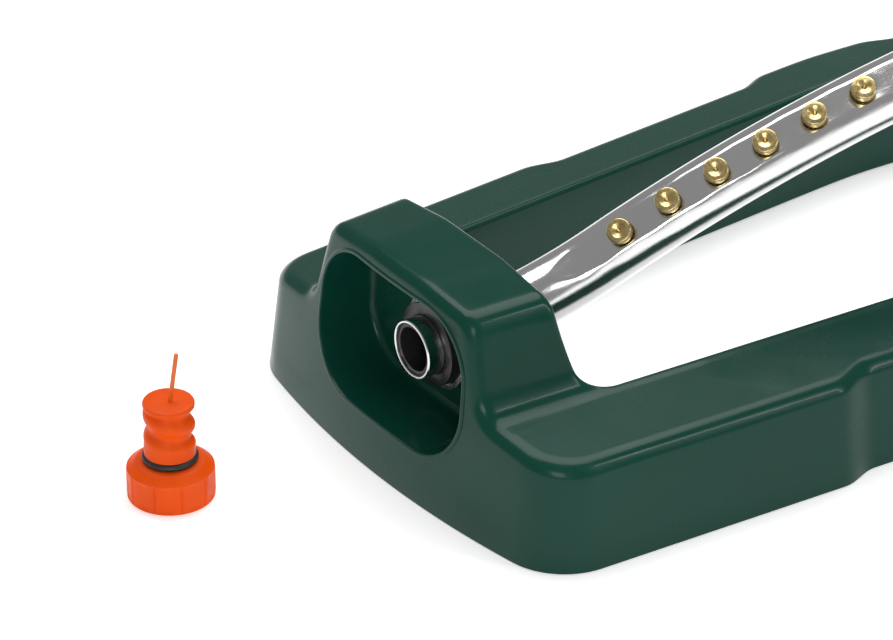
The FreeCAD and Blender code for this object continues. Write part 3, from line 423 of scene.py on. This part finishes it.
def end_face(y, z):
    """Where the clean-out end face lies."""
    reach = END_BOW - z * END_DRAFT
    return -(PLUG_END - END_BOW + math.sqrt(reach ** 2 - y ** 2))


def grip_at(x):
    """Depth of the grip hollows in the sides."""
    run_in = ease((abs(x) - GRIP_START) / GRIP_RUN_OUT)
    run_out = ease((GRIP_END - abs(x)) / GRIP_RUN_OUT)
    return GRIP_DEPTH * run_in * run_out


def shoulder_lines(limit):
    """Distances across a hub's top for its stations, evenly spaced along the profile."""
    lines = [0.0]
    while lines[-1] < limit:
        here = crown(Vector((OPENING_PLUG, lines[-1])))
        ahead = crown(Vector((OPENING_PLUG, lines[-1] + PROBE)))
        lines.append(lines[-1] + STATION_GAP / math.hypot(1, (ahead - here) / PROBE))
    return lines[:-1]


def end_quarter(sign, end, opening):
    """Stations round one quarter of an end, from its middle to the plain rail."""
    bow_centre = Vector((end - END_BOW, 0))
    line = SIDE_REACH - OUTER_CORNER / math.cos(SPLAY_ANGLE)
    a = 1 + SPLAY ** 2
    b = -2 * (bow_centre.x + line * SPLAY)
    c = bow_centre.x ** 2 + line ** 2 - (END_BOW - OUTER_CORNER) ** 2
    corner_x = (-b + math.sqrt(b * b - 4 * a * c)) / (2 * a)
    corner = Vector((corner_x, line - SPLAY * corner_x))
    turn_in = math.atan2(corner.y, corner.x - bow_centre.x)
    turn_out = math.pi / 2 - SPLAY_ANGLE
    inner_x = opening - OPENING_CORNER
    inner_y = SIDE_REACH - SPLAY * inner_x - RAIL_WIDTH - OPENING_CORNER / math.cos(SPLAY_ANGLE)
    inner = Vector((inner_x, inner_y))
    side_normal = Vector((math.sin(SPLAY_ANGLE), math.cos(SPLAY_ANGLE)))
    stations = []
    bend = turn = 0.0
    shift = (opening - OPENING_PLUG) * SPLAY
    for across in shoulder_lines(INNER_EDGE - LINE_STOP):
        from_middle = min(1, across / HUB_CROWN_HALF)
        reach = across - shift * from_middle
        y = reach
        for _ in range(8):
            x = bow_centre.x + math.sqrt(END_BOW ** 2 - y ** 2)
            y = reach - (x - opening) * SPLAY * from_middle
        turn = math.asin(y / END_BOW)
        normal = Vector((math.cos(turn), math.sin(turn)))
        if reach < inner.y:
            edge, into = Vector((opening, reach)), Vector((1, 0))
        else:
            for _ in range(30):
                bend = math.asin(min(1, (reach - inner.y) / OPENING_CORNER + (1 - math.cos(bend)) * SPLAY))
            into = Vector((math.cos(bend), math.sin(bend)))
            edge = inner + into * OPENING_CORNER
        stations.append((bow_centre + normal * END_BOW, normal, edge, into))
    rail_x = inner_x + OPENING_CORNER * math.sin(SPLAY_ANGLE)
    side_start = corner.x + OUTER_CORNER * math.sin(SPLAY_ANGLE)
    outer_way = [(turn_in - turn) * END_BOW, (turn_out - turn_in) * OUTER_CORNER,
                 (side_start - PLAIN_RAIL) / math.cos(SPLAY_ANGLE)]
    inner_way = [(turn_out - bend) * OPENING_CORNER, (rail_x - PLAIN_RAIL) / math.cos(SPLAY_ANGLE)]
    for step in range(1, CORNER_STATIONS):
        way = sum(outer_way) * step / CORNER_STATIONS
        if way < outer_way[0]:
            angle = turn + way / END_BOW
            normal = Vector((math.cos(angle), math.sin(angle)))
            outer = bow_centre + normal * END_BOW
        elif way < outer_way[0] + outer_way[1]:
            angle = turn_in + (way - outer_way[0]) / OUTER_CORNER
            normal = Vector((math.cos(angle), math.sin(angle)))
            outer = corner + normal * OUTER_CORNER
        else:
            x = side_start - (way - outer_way[0] - outer_way[1]) * math.cos(SPLAY_ANGLE)
            normal = side_normal
            outer = Vector((x, SIDE_REACH - SPLAY * x))
        way = sum(inner_way) * step / CORNER_STATIONS
        if way < inner_way[0]:
            angle = bend + way / OPENING_CORNER
            into = Vector((math.cos(angle), math.sin(angle)))
            edge = inner + into * OPENING_CORNER
        else:
            x = rail_x - (way - inner_way[0]) * math.cos(SPLAY_ANGLE)
            into = side_normal
            edge = Vector((x, SIDE_REACH - SPLAY * x - RAIL_WIDTH))
        stations.append((outer, normal, edge, into))
    flip = Vector((sign, 1))
    return [tuple(part * flip for part in station) for station in stations]


STATION_GAP = 1.3 * MM
PROBE = 0.05 * MM
PLAIN_RAIL = 150 * MM
LINE_STOP = 1.2 * MM
CORNER_STATIONS = 60
RAIL_STATIONS = 190


def rail_stations(start, stop):
    """Stations along one rail."""
    stations = []
    for step in range(RAIL_STATIONS):
        x = start + (stop - start) * step / RAIL_STATIONS
        normal = Vector((SPLAY * x / math.hypot(x, MIDDLE_BEND), 1)).normalized()
        half = side_half(x)
        stations.append((Vector((x, half)), normal, Vector((x, half - RAIL_WIDTH)), normal))
    return stations


def ring_stations():
    """Stations right round the frame."""
    plug = end_quarter(-1, PLUG_END, OPENING_PLUG)
    hose = end_quarter(1, HOSE_END, OPENING_HOSE)
    half = plug + rail_stations(-PLAIN_RAIL, PLAIN_RAIL) + list(reversed(hose))
    flip = Vector((1, -1))
    other = [tuple(part * flip for part in station) for station in reversed(half[1:-1])]
    return half + other


def rounded_edge(base, inward, start, lean, radius, steps):
    """Points from a wall over its rounded top edge. The wall starts at a distance and leans in."""
    points = []
    for step in range(steps + 1):
        turn = math.pi / 2 * step / steps
        under = radius * (1 - math.sin(turn))
        foot = start + radius * (1 - math.cos(turn))
        u = foot
        for _ in range(15):
            z = crown(base + inward * u, under)
            u = foot + lean * z
        points.append(Vector((u, z)))
    return points


WALL_ROWS = 4
EDGE_ROWS = 7
TOP_ROWS = 24
INNER_EDGE_ROWS = 4
HIDDEN_ROWS = 8


def frame_section(station):
    """One closed section of the moulded wall: outside, top, opening side, and back underneath."""
    outer, normal, inner, into = station
    lean = draft_at(normal)
    start = grip_at(outer.x) if abs(normal.y) > 0.9 else 0.0
    edge = rounded_edge(outer, -normal, start, lean, EDGE_ROUND, EDGE_ROWS)
    lip = rounded_edge(inner, into, 0.0, 0.0, OPENING_EDGE_ROUND, INNER_EDGE_ROWS)

    def out(u, z):
        spot = outer - normal * u
        return Vector((spot.x, spot.y, z))

    def back(u, z):
        spot = inner + into * u
        return Vector((spot.x, spot.y, z))

    points = [out(start + FOOT_ROUND, 0), out(start + FOOT_ROUND * 0.3, FOOT_ROUND * 0.3),
              out(start + FOOT_ROUND * lean, FOOT_ROUND)]
    for row in range(1, WALL_ROWS):
        z = FOOT_ROUND + (edge[0].y - FOOT_ROUND) * row / WALL_ROWS
        points.append(out(start + z * lean, z))
    points += [out(point.x, point.y) for point in edge]
    first, last = points[-1].xy, back(lip[-1].x, 0).xy
    for row in range(1, TOP_ROWS):
        spot = first.lerp(last, row / TOP_ROWS)
        points.append(Vector((spot.x, spot.y, crown(spot))))
    points += [back(point.x, point.y) for point in reversed(lip)]
    for row in range(1, WALL_ROWS):
        points.append(back(0, lip[0].y * (1 - row / WALL_ROWS)))
    points += [back(0, FOOT_ROUND), back(FOOT_ROUND, 0), back(WALL, 0)]
    near = back(WALL, 0).xy
    u = start + WALL
    for _ in range(20):
        u = start + WALL + lean * crown(outer - normal * u, WALL)
    far = outer - normal * u
    for row in range(HIDDEN_ROWS + 1):
        spot = near.lerp(far, row / HIDDEN_ROWS)
        points.append(Vector((spot.x, spot.y, crown(spot, WALL))))
    points.append(out(start + WALL, 0))
    return points


# ---------------------------------------------------------------- frame: its pieces

def recess_outline(grow, corner_steps=18, line_steps=10):
    """The recess seen from the end, a rounded trapezoid, as (y, z) points."""
    low, high = RECESS_LOW - grow, RECESS_HIGH + grow
    low_half, top_half = RECESS_LOW_HALF + grow, RECESS_TOP_HALF + grow
    corners = [Vector((-low_half, low)), Vector((low_half, low)), Vector((top_half, high)),
               Vector((-top_half, high))]
    radius = RECESS_CORNER + grow
    arcs = []
    for index, corner in enumerate(corners):
        before = (corners[index - 1] - corner).normalized()
        after = (corners[(index + 1) % 4] - corner).normalized()
        half = before.angle(after) / 2
        centre = corner + (before + after).normalized() * radius / math.sin(half)
        first = corner + before * radius / math.tan(half) - centre
        sweep = math.pi - 2 * half
        arcs.append([centre + Matrix.Rotation(sweep * step / corner_steps, 2) @ first
                     for step in range(corner_steps + 1)])
    points = []
    for index, arc in enumerate(arcs):
        points += arc
        following = arcs[(index + 1) % 4][0]
        points += [arc[-1].lerp(following, step / line_steps) for step in range(1, line_steps)]
    return points


def round_outline(radius, like):
    """A circle about the tube's axis with as many points as another outline, each facing its own."""
    centre = Vector((0, AXIS))
    points = []
    for point in like:
        points.append(centre + (point - centre).normalized() * radius)
    return points


def drum(name, radius, start, stop, y=0.0, z=AXIS, segments=96):
    """A plain cylinder along X, used to cut holes."""
    rings = []
    for x in (start, stop):
        rings.append([Vector((x, y + radius * math.cos(2 * math.pi * step / segments),
                              z + radius * math.sin(2 * math.pi * step / segments)))
                      for step in range(segments)])
    return skin(name, rings, cap_start=True, cap_end=True)


def make_frame_shell():
    shell = skin("frame_shell", [frame_section(station) for station in ring_stations()], closed_way=True)
    mouth = recess_outline(0.9 * MM)
    cutters = [skin("recess_cutter", [[Vector((x, point.x, point.y)) for point in mouth]
                                      for x in (-PLUG_END - 10 * MM, -RECESS_BACK - WALL)],
                    cap_start=True, cap_end=True)]
    cutters.append(drum("bush_cutter", BUSH_RADIUS, -OPENING_PLUG - 2 * WALL, -OPENING_PLUG + WALL))
    cutters.append(drum("nose_cutter", NOSE_OPENING, OPENING_HOSE - WALL, OPENING_HOSE + 2 * WALL))
    cutters.append(drum("stem_cutter", STEM_OPENING, HOSE_END - 5 * WALL, HOSE_END + WALL))
    for cutter in cutters:
        applied(shell, "BOOLEAN", object=cutter, operation="DIFFERENCE", solver="EXACT")
        bpy.data.objects.remove(cutter)
    smoothed(shell, 40)
    fitted(shell, "frame", "green_plastic", FINISHES["green_plastic"], "base_frame")
    return shell


def make_recess_cup():
    """The cup of the end recess, with its thin raised lip."""
    rings = []

    def on_face(grow, proud):
        rings.append([Vector((end_face(point.x, point.y) - proud, point.x, point.y))
                      for point in recess_outline(grow)])

    def at(grow, x):
        rings.append([Vector((x, point.x, point.y)) for point in recess_outline(grow)])

    def disc(radius, x, share=1.0, grow=0.0):
        outline = recess_outline(grow)
        ring = [point.lerp(goal, share) for point, goal in zip(outline, round_outline(radius, outline))]
        rings.append([Vector((x, point.x, point.y)) for point in ring])

    lip = 0.45 * MM
    on_face(1.5 * MM, -0.3 * MM)
    on_face(1.45 * MM, lip * 0.4)
    on_face(1.25 * MM, lip * 0.85)
    on_face(0.95 * MM, lip)
    on_face(0.55 * MM, lip)
    on_face(0.2 * MM, lip * 0.75)
    on_face(0.03 * MM, 0)
    on_face(0, -0.8 * MM)
    back = -RECESS_BACK
    draft = 0.9 * MM
    cup_wall = 2 * MM
    thin_wall = 0.85 * MM
    rebate = 11 * MM
    round_in = 2.6 * MM
    front = -PLUG_END + 6 * MM
    for step in range(1, 6):
        share = step / 5
        at(-draft * share, front + (back - round_in - front) * share)
    for step in range(1, 6):
        turn = math.pi / 2 * step / 5
        at(-draft - round_in * (1 - math.cos(turn)), back - round_in * (1 - math.sin(turn)))
    for step in range(1, 7):
        disc(BUSH_RADIUS, back, step / 6, -draft - round_in)
    disc(BUSH_RADIUS, -OPENING_PLUG - WALL)
    disc(BOSS_RADIUS, -OPENING_PLUG - WALL)
    disc(BOSS_RADIUS, back + cup_wall)
    at(cup_wall, back + cup_wall)
    at(cup_wall, -PLUG_END + rebate)
    at(thin_wall, -PLUG_END + rebate)
    on_face(thin_wall, -0.3 * MM)
    cup = smoothed(skin("end_recess_cup_shell", rings, closed_way=True), 32)
    return fitted(cup, "frame", "green_plastic", FINISHES["green_plastic"], "end_recess_cup")


make_frame_shell()
make_recess_cup()


# ---------------------------------------------------------------- spray tube

def leaned(point):
    """From the upright pattern to the tube's lean at rest."""
    turn = Matrix.Rotation(REST_ROLL, 3, "X")
    pivot = Vector((0, 0, AXIS))
    return turn @ (point - pivot) + pivot


def tube_line():
    """The tube's centre line as pieces of (length, point at a distance)."""
    rise = (ARCH_RADIUS + PLUG_BEND) * (1 - math.cos(ARCH_ANGLE))
    centre = Vector((0, 0, AXIS + rise - ARCH_RADIUS))
    plug_x = -(ARCH_RADIUS + PLUG_BEND) * math.sin(ARCH_ANGLE)
    foot = centre + Vector((math.sin(ARCH_ANGLE), 0, math.cos(ARCH_ANGLE))) * ARCH_RADIUS
    slope = (foot.z - AXIS - DRIVE_BEND * (1 - math.cos(ARCH_ANGLE))) / math.sin(ARCH_ANGLE)
    down = Vector((math.cos(ARCH_ANGLE), 0, -math.sin(ARCH_ANGLE)))
    drive_x = (foot + down * slope).x + DRIVE_BEND * math.sin(ARCH_ANGLE)

    def straight(start, way):
        return lambda s: (start + way * s, way)

    def bend(middle, radius, turn, sense):
        def at(s):
            angle = turn + sense * s / radius
            arm = Vector((math.sin(angle), 0, math.cos(angle)))
            return middle + arm * radius, Vector((arm.z, 0, -arm.x)) * sense
        return at

    along = Vector((1, 0, 0))
    return [
        (plug_x + TUBE_PLUG_END, straight(Vector((-TUBE_PLUG_END, 0, AXIS)), along)),
        (PLUG_BEND * ARCH_ANGLE, bend(Vector((plug_x, 0, AXIS + PLUG_BEND)), PLUG_BEND, math.pi, -1)),
        (2 * ARCH_RADIUS * ARCH_ANGLE, bend(centre, ARCH_RADIUS, -ARCH_ANGLE, 1)),
        (slope, straight(foot, down)),
        (DRIVE_BEND * ARCH_ANGLE, bend(Vector((drive_x, 0, AXIS + DRIVE_BEND)), DRIVE_BEND,
                                       math.pi + ARCH_ANGLE, -1)),
        (TUBE_DRIVE_END - drive_x, straight(Vector((drive_x, 0, AXIS)), along)),
    ]


LINE = tube_line()
TUBE_LENGTH = sum(length for length, _ in LINE)
ARCH_TOP = LINE[0][0] + LINE[1][0] + LINE[2][0] / 2
ROW_START = ARCH_TOP - NOZZLE_SHIFT - NOZZLE_PITCH * (NOZZLES - 1) / 2
ROW_END = ROW_START + NOZZLE_PITCH * (NOZZLES - 1)
NOZZLE_WAYS = [ROW_START + NOZZLE_PITCH * index for index in range(NOZZLES)]


def on_line(s):
    """Point, direction and outward direction of the centre line, upright."""
    for length, at in LINE:
        if s <= length:
            point, way = at(s)
            return point, way, Vector((-way.z, 0, way.x))
        s -= length
    point, way = at(length)
    return point, way, Vector((-way.z, 0, way.x))


def tube_surface(s, turn, radius):
    """Distance out (towards the nozzles) and across, with the pressed flat and its dimples."""
    out, across = radius * math.cos(turn), radius * math.sin(turn)
    into = min(s - (ROW_START - FLAT_LEAD), (ROW_END + FLAT_LEAD) - s)
    if into <= 0 or out < 0:
        return out, across
    width = 6.4 * MM * math.sqrt(min(1.0, into / (24 * MM)))
    nearest = min(abs(s - way) for way in NOZZLE_WAYS)
    wave = math.cos(math.pi * nearest / (NOZZLE_PITCH / 2))
    width += 0.35 * MM * wave * min(1.0, into / (20 * MM))
    inside = ease((width - abs(across)) / (2.2 * MM) + 0.5)
    press = min(1.0, into / (9 * MM))
    flat_out = FLAT_DEPTH + 0.15 * MM * wave
    pressed = out + (min(out, flat_out) - out) * inside * press
    spread = (nearest ** 2 + across ** 2) / (4.6 * MM) ** 2
    pressed -= 0.55 * MM * math.exp(-spread * spread) * press * inside
    valley = math.exp(-((abs(across) - width) / (1.5 * MM)) ** 2)
    pressed -= 0.22 * MM * valley * press * (0.6 + 0.4 * wave)
    return pressed, across


TUBE_ROUND = 96


def tube_ring(s, radius, shaped=True):
    point, _, outward = on_line(s)
    aside = Vector((0, 1, 0))
    ring = []
    for step in range(TUBE_ROUND):
        turn = 2 * math.pi * step / TUBE_ROUND
        out, across = radius * math.cos(turn), radius * math.sin(turn)
        if shaped:
            out, across = tube_surface(s, turn, radius)
        ring.append(leaned(point + outward * out + aside * across))
    return ring


def tube_radius_at(s):
    """The ends are drawn down a little."""
    grow = 2.5 * MM
    begin, finish = LINE[0][0] - 1.0 * MM, TUBE_LENGTH - LINE[5][0] + 1.0 * MM
    share = ease((s - begin) / grow) * ease((finish - s) / grow)
    return TUBE_END_RADIUS + (TUBE_RADIUS - TUBE_END_RADIUS) * share


def make_spray_tube():
    chamfer = 0.28 * MM
    rings = [tube_ring(0, TUBE_END_RADIUS - chamfer, False), tube_ring(chamfer, TUBE_END_RADIUS, False)]
    pitch = 1.2 * MM
    count = int(TUBE_LENGTH / pitch)
    for step in range(1, count):
        s = TUBE_LENGTH * step / count
        rings.append(tube_ring(s, tube_radius_at(s)))
    rings.append(tube_ring(TUBE_LENGTH, TUBE_END_RADIUS, False))
    inside = TUBE_END_RADIUS - TUBE_WALL
    narrow = min(inside, FLAT_DEPTH - 1.9 * MM)
    back = 120
    for step in range(back):
        s = TUBE_LENGTH * (1 - step / back)
        share = ease((s - 20 * MM) / (40 * MM))
        rings.append(tube_ring(s, inside + (narrow - inside) * share, False))
    rings.append(tube_ring(chamfer * 0.6, inside, False))
    rings.append(tube_ring(0, inside + chamfer * 0.6, False))
    tube = smoothed(skin("spray_tube_drawn", rings, closed_way=True, uv=True), 40)
    return fitted(tube, "tube", "polished_aluminium", FINISHES["polished_aluminium"], "spray_tube")


def make_nozzles():
    """One turned nozzle head, copied along the flat."""
    head_radius, head_height, bore = 3.9 * MM, 2.7 * MM, 0.75 * MM
    bpy.ops.object.select_all(action="DESELECT")
    bpy.ops.mesh.primitive_cylinder_add(vertices=48, radius=head_radius, depth=head_height,
                                        location=(0, 0, head_height / 2))
    head = bpy.context.object
    bpy.ops.object.transform_apply(location=True)
    bpy.ops.object.mode_set(mode="EDIT")
    bpy.ops.mesh.select_all(action="DESELECT")
    bpy.ops.object.mode_set(mode="OBJECT")
    for face in head.data.polygons:
        face.select = face.normal.z > 0.9
    bpy.ops.object.mode_set(mode="EDIT")
    bpy.ops.mesh.select_mode(type="FACE")
    bpy.ops.mesh.bevel(offset=0.35 * MM, segments=3, affect="EDGES")
    bpy.ops.object.mode_set(mode="OBJECT")
    for face in head.data.polygons:
        face.select = face.normal.z > 0.99 and face.center.z > head_height * 0.99
    bpy.ops.object.mode_set(mode="EDIT")
    bpy.ops.mesh.inset(thickness=1.15 * MM)
    bpy.ops.mesh.inset(thickness=0.1 * MM, depth=-0.06 * MM)
    bpy.ops.mesh.inset(thickness=head_radius - 1.7 * MM - bore, depth=-0.4 * MM)
    bpy.ops.mesh.inset(thickness=0.06 * MM, depth=-1.5 * MM)
    bpy.ops.object.mode_set(mode="OBJECT")
    smoothed(head, 30)
    lift = NOZZLE_TIP - head_height
    for index, way in enumerate(NOZZLE_WAYS):
        point, along, outward = on_line(way)
        across = Vector((0, 1, 0))
        turned = Matrix((along, across, outward)).transposed()
        roll = Matrix.Rotation(REST_ROLL, 3, "X")
        spot = leaned(point + outward * lift)
        upright = Matrix.Translation(spot) @ (roll @ turned).to_4x4()
        mesh = head.data.copy()
        mesh.transform(upright)
        piece = link(bpy.data.objects.new("spray_nozzle_%02d" % (index + 1), mesh))
        fitted(piece, "tube", "nozzle_brass", FINISHES["nozzle_brass"], "spray_nozzles")
    bpy.data.objects.remove(head)


make_spray_tube()
make_nozzles()


# ---------------------------------------------------------------- clean-out plug

PLUG_X, PLUG_Y = (PLUG_LOW.x + PLUG_HIGH.x) / 2, (PLUG_LOW.y + PLUG_HIGH.y) / 2
KNOB_RADIUS = (PLUG_HIGH.x - PLUG_LOW.x) / 2
KNOB_HEIGHT = 10 * MM
KNOB_LOBES = 10
SHOULDER_TOP = 12.5 * MM
SHOULDER_RADIUS = 10.5 * MM
THREAD_RADIUS = 8 * MM
THREAD_ROOT = 6.5 * MM
THREAD_PITCH = 8 * MM
PLUG_TOP = PLUG_HIGH.z
PLUG_ROUND = 160


def knob_reach(turn, z):
    """The knob's grip facets, cut a little at each edge and bevelled at both ends."""
    share = (turn / (2 * math.pi) * KNOB_LOBES) % 1.0
    facet = math.pi / KNOB_LOBES
    flat = math.cos(facet) / math.cos((share - 0.5) * 2 * facet)
    edge = min(share, 1 - share)
    notch = 0.06 * math.exp(-(edge / 0.06) ** 2)
    grip = ease((z - 0.5 * MM) / (0.8 * MM)) * ease((KNOB_HEIGHT + 0.1 * MM - z) / (0.8 * MM))
    return 1 - (1 - flat) * grip - notch * grip - 0.03 * (1 - grip)


def thread_reach(turn, z):
    """The round right-hand thread on its stem."""
    phase = (z / THREAD_PITCH + turn / (2 * math.pi)) % 1.0
    groove = (0.5 - 0.5 * math.cos(2 * math.pi * phase)) ** 1.3
    fade = ease((z - 18.2 * MM) / (2.5 * MM)) * ease((PLUG_TOP - 1.2 * MM - z) / (1.6 * MM))
    return THREAD_RADIUS - (THREAD_RADIUS - THREAD_ROOT) * groove * fade


def plug_ring(z, reach):
    ring = []
    for step in range(PLUG_ROUND):
        turn = 2 * math.pi * step / PLUG_ROUND
        radius = reach(turn)
        ring.append(Vector((PLUG_X + radius * math.cos(turn), PLUG_Y + radius * math.sin(turn), z)))
    return ring


def make_plug():
    rings = []
    rings.append(plug_ring(1.2 * MM, lambda turn: 5 * MM))
    rings.append(plug_ring(1.2 * MM, lambda turn: 11.2 * MM))
    rings.append(plug_ring(0.2 * MM, lambda turn: 11.6 * MM))
    rings.append(plug_ring(0, lambda turn: 12 * MM))
    rings.append(plug_ring(0, lambda turn: 13.2 * MM))
    for z in (0.25, 0.6, 0.9, 1.2, 1.6, 2.4, 4, 6, 7.6, 8.8, 9.3, 9.7, 10.0):
        rings.append(plug_ring(z * MM, lambda turn: KNOB_RADIUS * min(knob_reach(turn, z * MM), 0.999)))
    drop = KNOB_RADIUS * 0.955 - SHOULDER_RADIUS
    for share in (0.12, 0.3, 0.5, 0.7, 0.88):
        height = KNOB_HEIGHT + (SHOULDER_TOP - KNOB_HEIGHT) * share
        rings.append(plug_ring(height, lambda turn: KNOB_RADIUS * 0.955 - drop * share))
    rings.append(plug_ring(SHOULDER_TOP, lambda turn: SHOULDER_RADIUS - 0.4 * MM))
    rings.append(plug_ring(SHOULDER_TOP, lambda turn: 7.1 * MM))
    rings.append(plug_ring(SHOULDER_TOP + 2.0 * MM, lambda turn: 7.1 * MM))
    rings.append(plug_ring(SHOULDER_TOP + 2.2 * MM, lambda turn: 7.7 * MM))
    low, steps = SHOULDER_TOP + 2.4 * MM, 60
    for step in range(steps + 1):
        z = low + (PLUG_TOP - 0.5 * MM - low) * step / steps
        rings.append(plug_ring(z, lambda turn: thread_reach(turn, z)))
    rings.append(plug_ring(PLUG_TOP - 0.15 * MM, lambda turn: THREAD_RADIUS - 0.2 * MM))
    rings.append(plug_ring(PLUG_TOP, lambda turn: THREAD_RADIUS - 0.6 * MM))
    plug = smoothed(skin("clean_out_plug_moulded", rings, cap_start=True, cap_end=True), 30)
    return fitted(plug, "plug", "orange_plastic", FINISHES["orange_plastic"], "clean_out_plug")


make_plug()


# ---------------------------------------------------------------- pieces that keep the CAD's shape

def dressed(node, body, slot_name, chamfer=0.0, degrees=32):
    """A merged copy of a CAD node with softened edges."""
    piece = link(bpy.data.objects.new(node + "_finished", frame["nodes"][node].data.copy()))
    only(piece)
    bpy.ops.object.mode_set(mode="EDIT")
    bpy.ops.mesh.select_all(action="SELECT")
    bpy.ops.mesh.remove_doubles(threshold=0.002 * MM)
    bpy.ops.mesh.dissolve_limited(angle_limit=math.radians(0.5))
    bpy.ops.object.mode_set(mode="OBJECT")
    if chamfer:
        applied(piece, "BEVEL", width=chamfer, segments=2, limit_method="ANGLE",
                angle_limit=math.radians(40), use_clamp_overlap=True)
    smoothed(piece, degrees)
    return fitted(piece, body, slot_name, FINISHES[slot_name], node)


BODY_OF = {node: body for body, nodes in frame["record"]["behaviour"]["bodies"].items() for node in nodes}
SLOT_OF = {part["node"]: part["material_slot"] for part in frame["record"]["subparts"]}

SOFT_EDGES = {
    "base_plate": 0.4, "base_plate_screws": 0.3, "tube_bush": 0.35, "bush_clip": 0.15, "motor_cover": 0.4,
    "case_gasket": 0, "motor_case": 0.6, "case_screws": 0.25, "gear_axle": 0.2, "gear_plate": 0.2,
    "jet_plate": 0.2, "inlet_stem": 0.3, "plug_socket": 0.25, "drive_adapter": 0.3, "shaft_seal": 0.1,
    "output_gear": 0, "range_tab_left": 0.4, "range_tab_right": 0.4, "trip_ring": 0.35, "flow_diverter": 0.2,
    "reduction_gear": 0, "turbine_wheel": 0.15, "turbine_shaft": 0.2, "turbine_pinion": 0, "hose_nut": 0.45,
    "hose_washer": 0.3, "filter_screen": 0.05, "plug_o_ring": 0, "cleaning_pin": 0.1,
}

for node, softening in SOFT_EDGES.items():
    dressed(node, BODY_OF[node], SLOT_OF[node], softening * MM)


# ---------------------------------------------------------------- studio

LOOK_AT = Vector((-0.2537, -0.0548, 0.0853))
VIEW_BACK = Vector((-0.49196, -0.70715, 0.50786))
VIEW_DISTANCE = 1.35


def aimed(thing, place, goal):
    thing.location = place
    thing.rotation_euler = (Vector(goal) - Vector(place)).to_track_quat("-Z", "Y").to_euler()
    return link(thing)


def make_camera():
    lens = bpy.data.cameras.new("studio_camera")
    lens.lens = 187.37
    lens.sensor_width = 36
    lens.clip_start = 0.01
    lens.clip_end = 50
    camera = bpy.data.objects.new("studio_camera", lens)
    aimed(camera, LOOK_AT + VIEW_BACK * VIEW_DISTANCE, LOOK_AT)
    bpy.context.scene.camera = camera


def softbox(name, place, goal, width, height, power, tint=(1, 1, 1)):
    light = bpy.data.lights.new(name, "AREA")
    light.shape = "RECTANGLE"
    light.size = width
    light.size_y = height
    light.energy = power
    light.color = tint
    return aimed(bpy.data.objects.new(name, light), Vector(place), Vector(goal))


def make_studio():
    world = bpy.data.worlds.new("studio_air")
    world.use_nodes = True
    air = world.node_tree.nodes["Background"]
    air.inputs["Color"].default_value = (1, 1, 1, 1)
    air.inputs["Strength"].default_value = 0.3
    bpy.context.scene.world = world
    bpy.context.scene.view_settings.view_transform = "Standard"
    bpy.ops.object.select_all(action="DESELECT")
    bpy.ops.mesh.primitive_plane_add(size=12, location=(0, 0, 0))
    floor = bpy.context.object
    floor.name = "studio_floor"
    paper = Finish("white_paper_floor", (0.93, 0.93, 0.93), 0.9)
    paper.tint(paper.pattern(3, 2), (0.935, 0.935, 0.935))
    paper.shader.inputs["Specular IOR Level"].default_value = 0.1
    paper.shader.inputs["Emission Color"].default_value = (1, 1, 1, 1)
    paper.shader.inputs["Emission Strength"].default_value = 0.35
    floor.data.materials.append(paper.material)
    softbox("overhead_softbox", (0.2, 0.5, 1.9), (-0.1, 0, 0), 2.0, 1.4, 34)
    softbox("side_softbox", (-1.3, -1.5, 0.9), (-0.1, 0, 0.05), 0.7, 0.9, 9)
    softbox("edge_strip", (0.9, -1.6, 1.1), (0, -0.05, 0.04), 0.12, 1.4, 7)


make_camera()
make_studio()
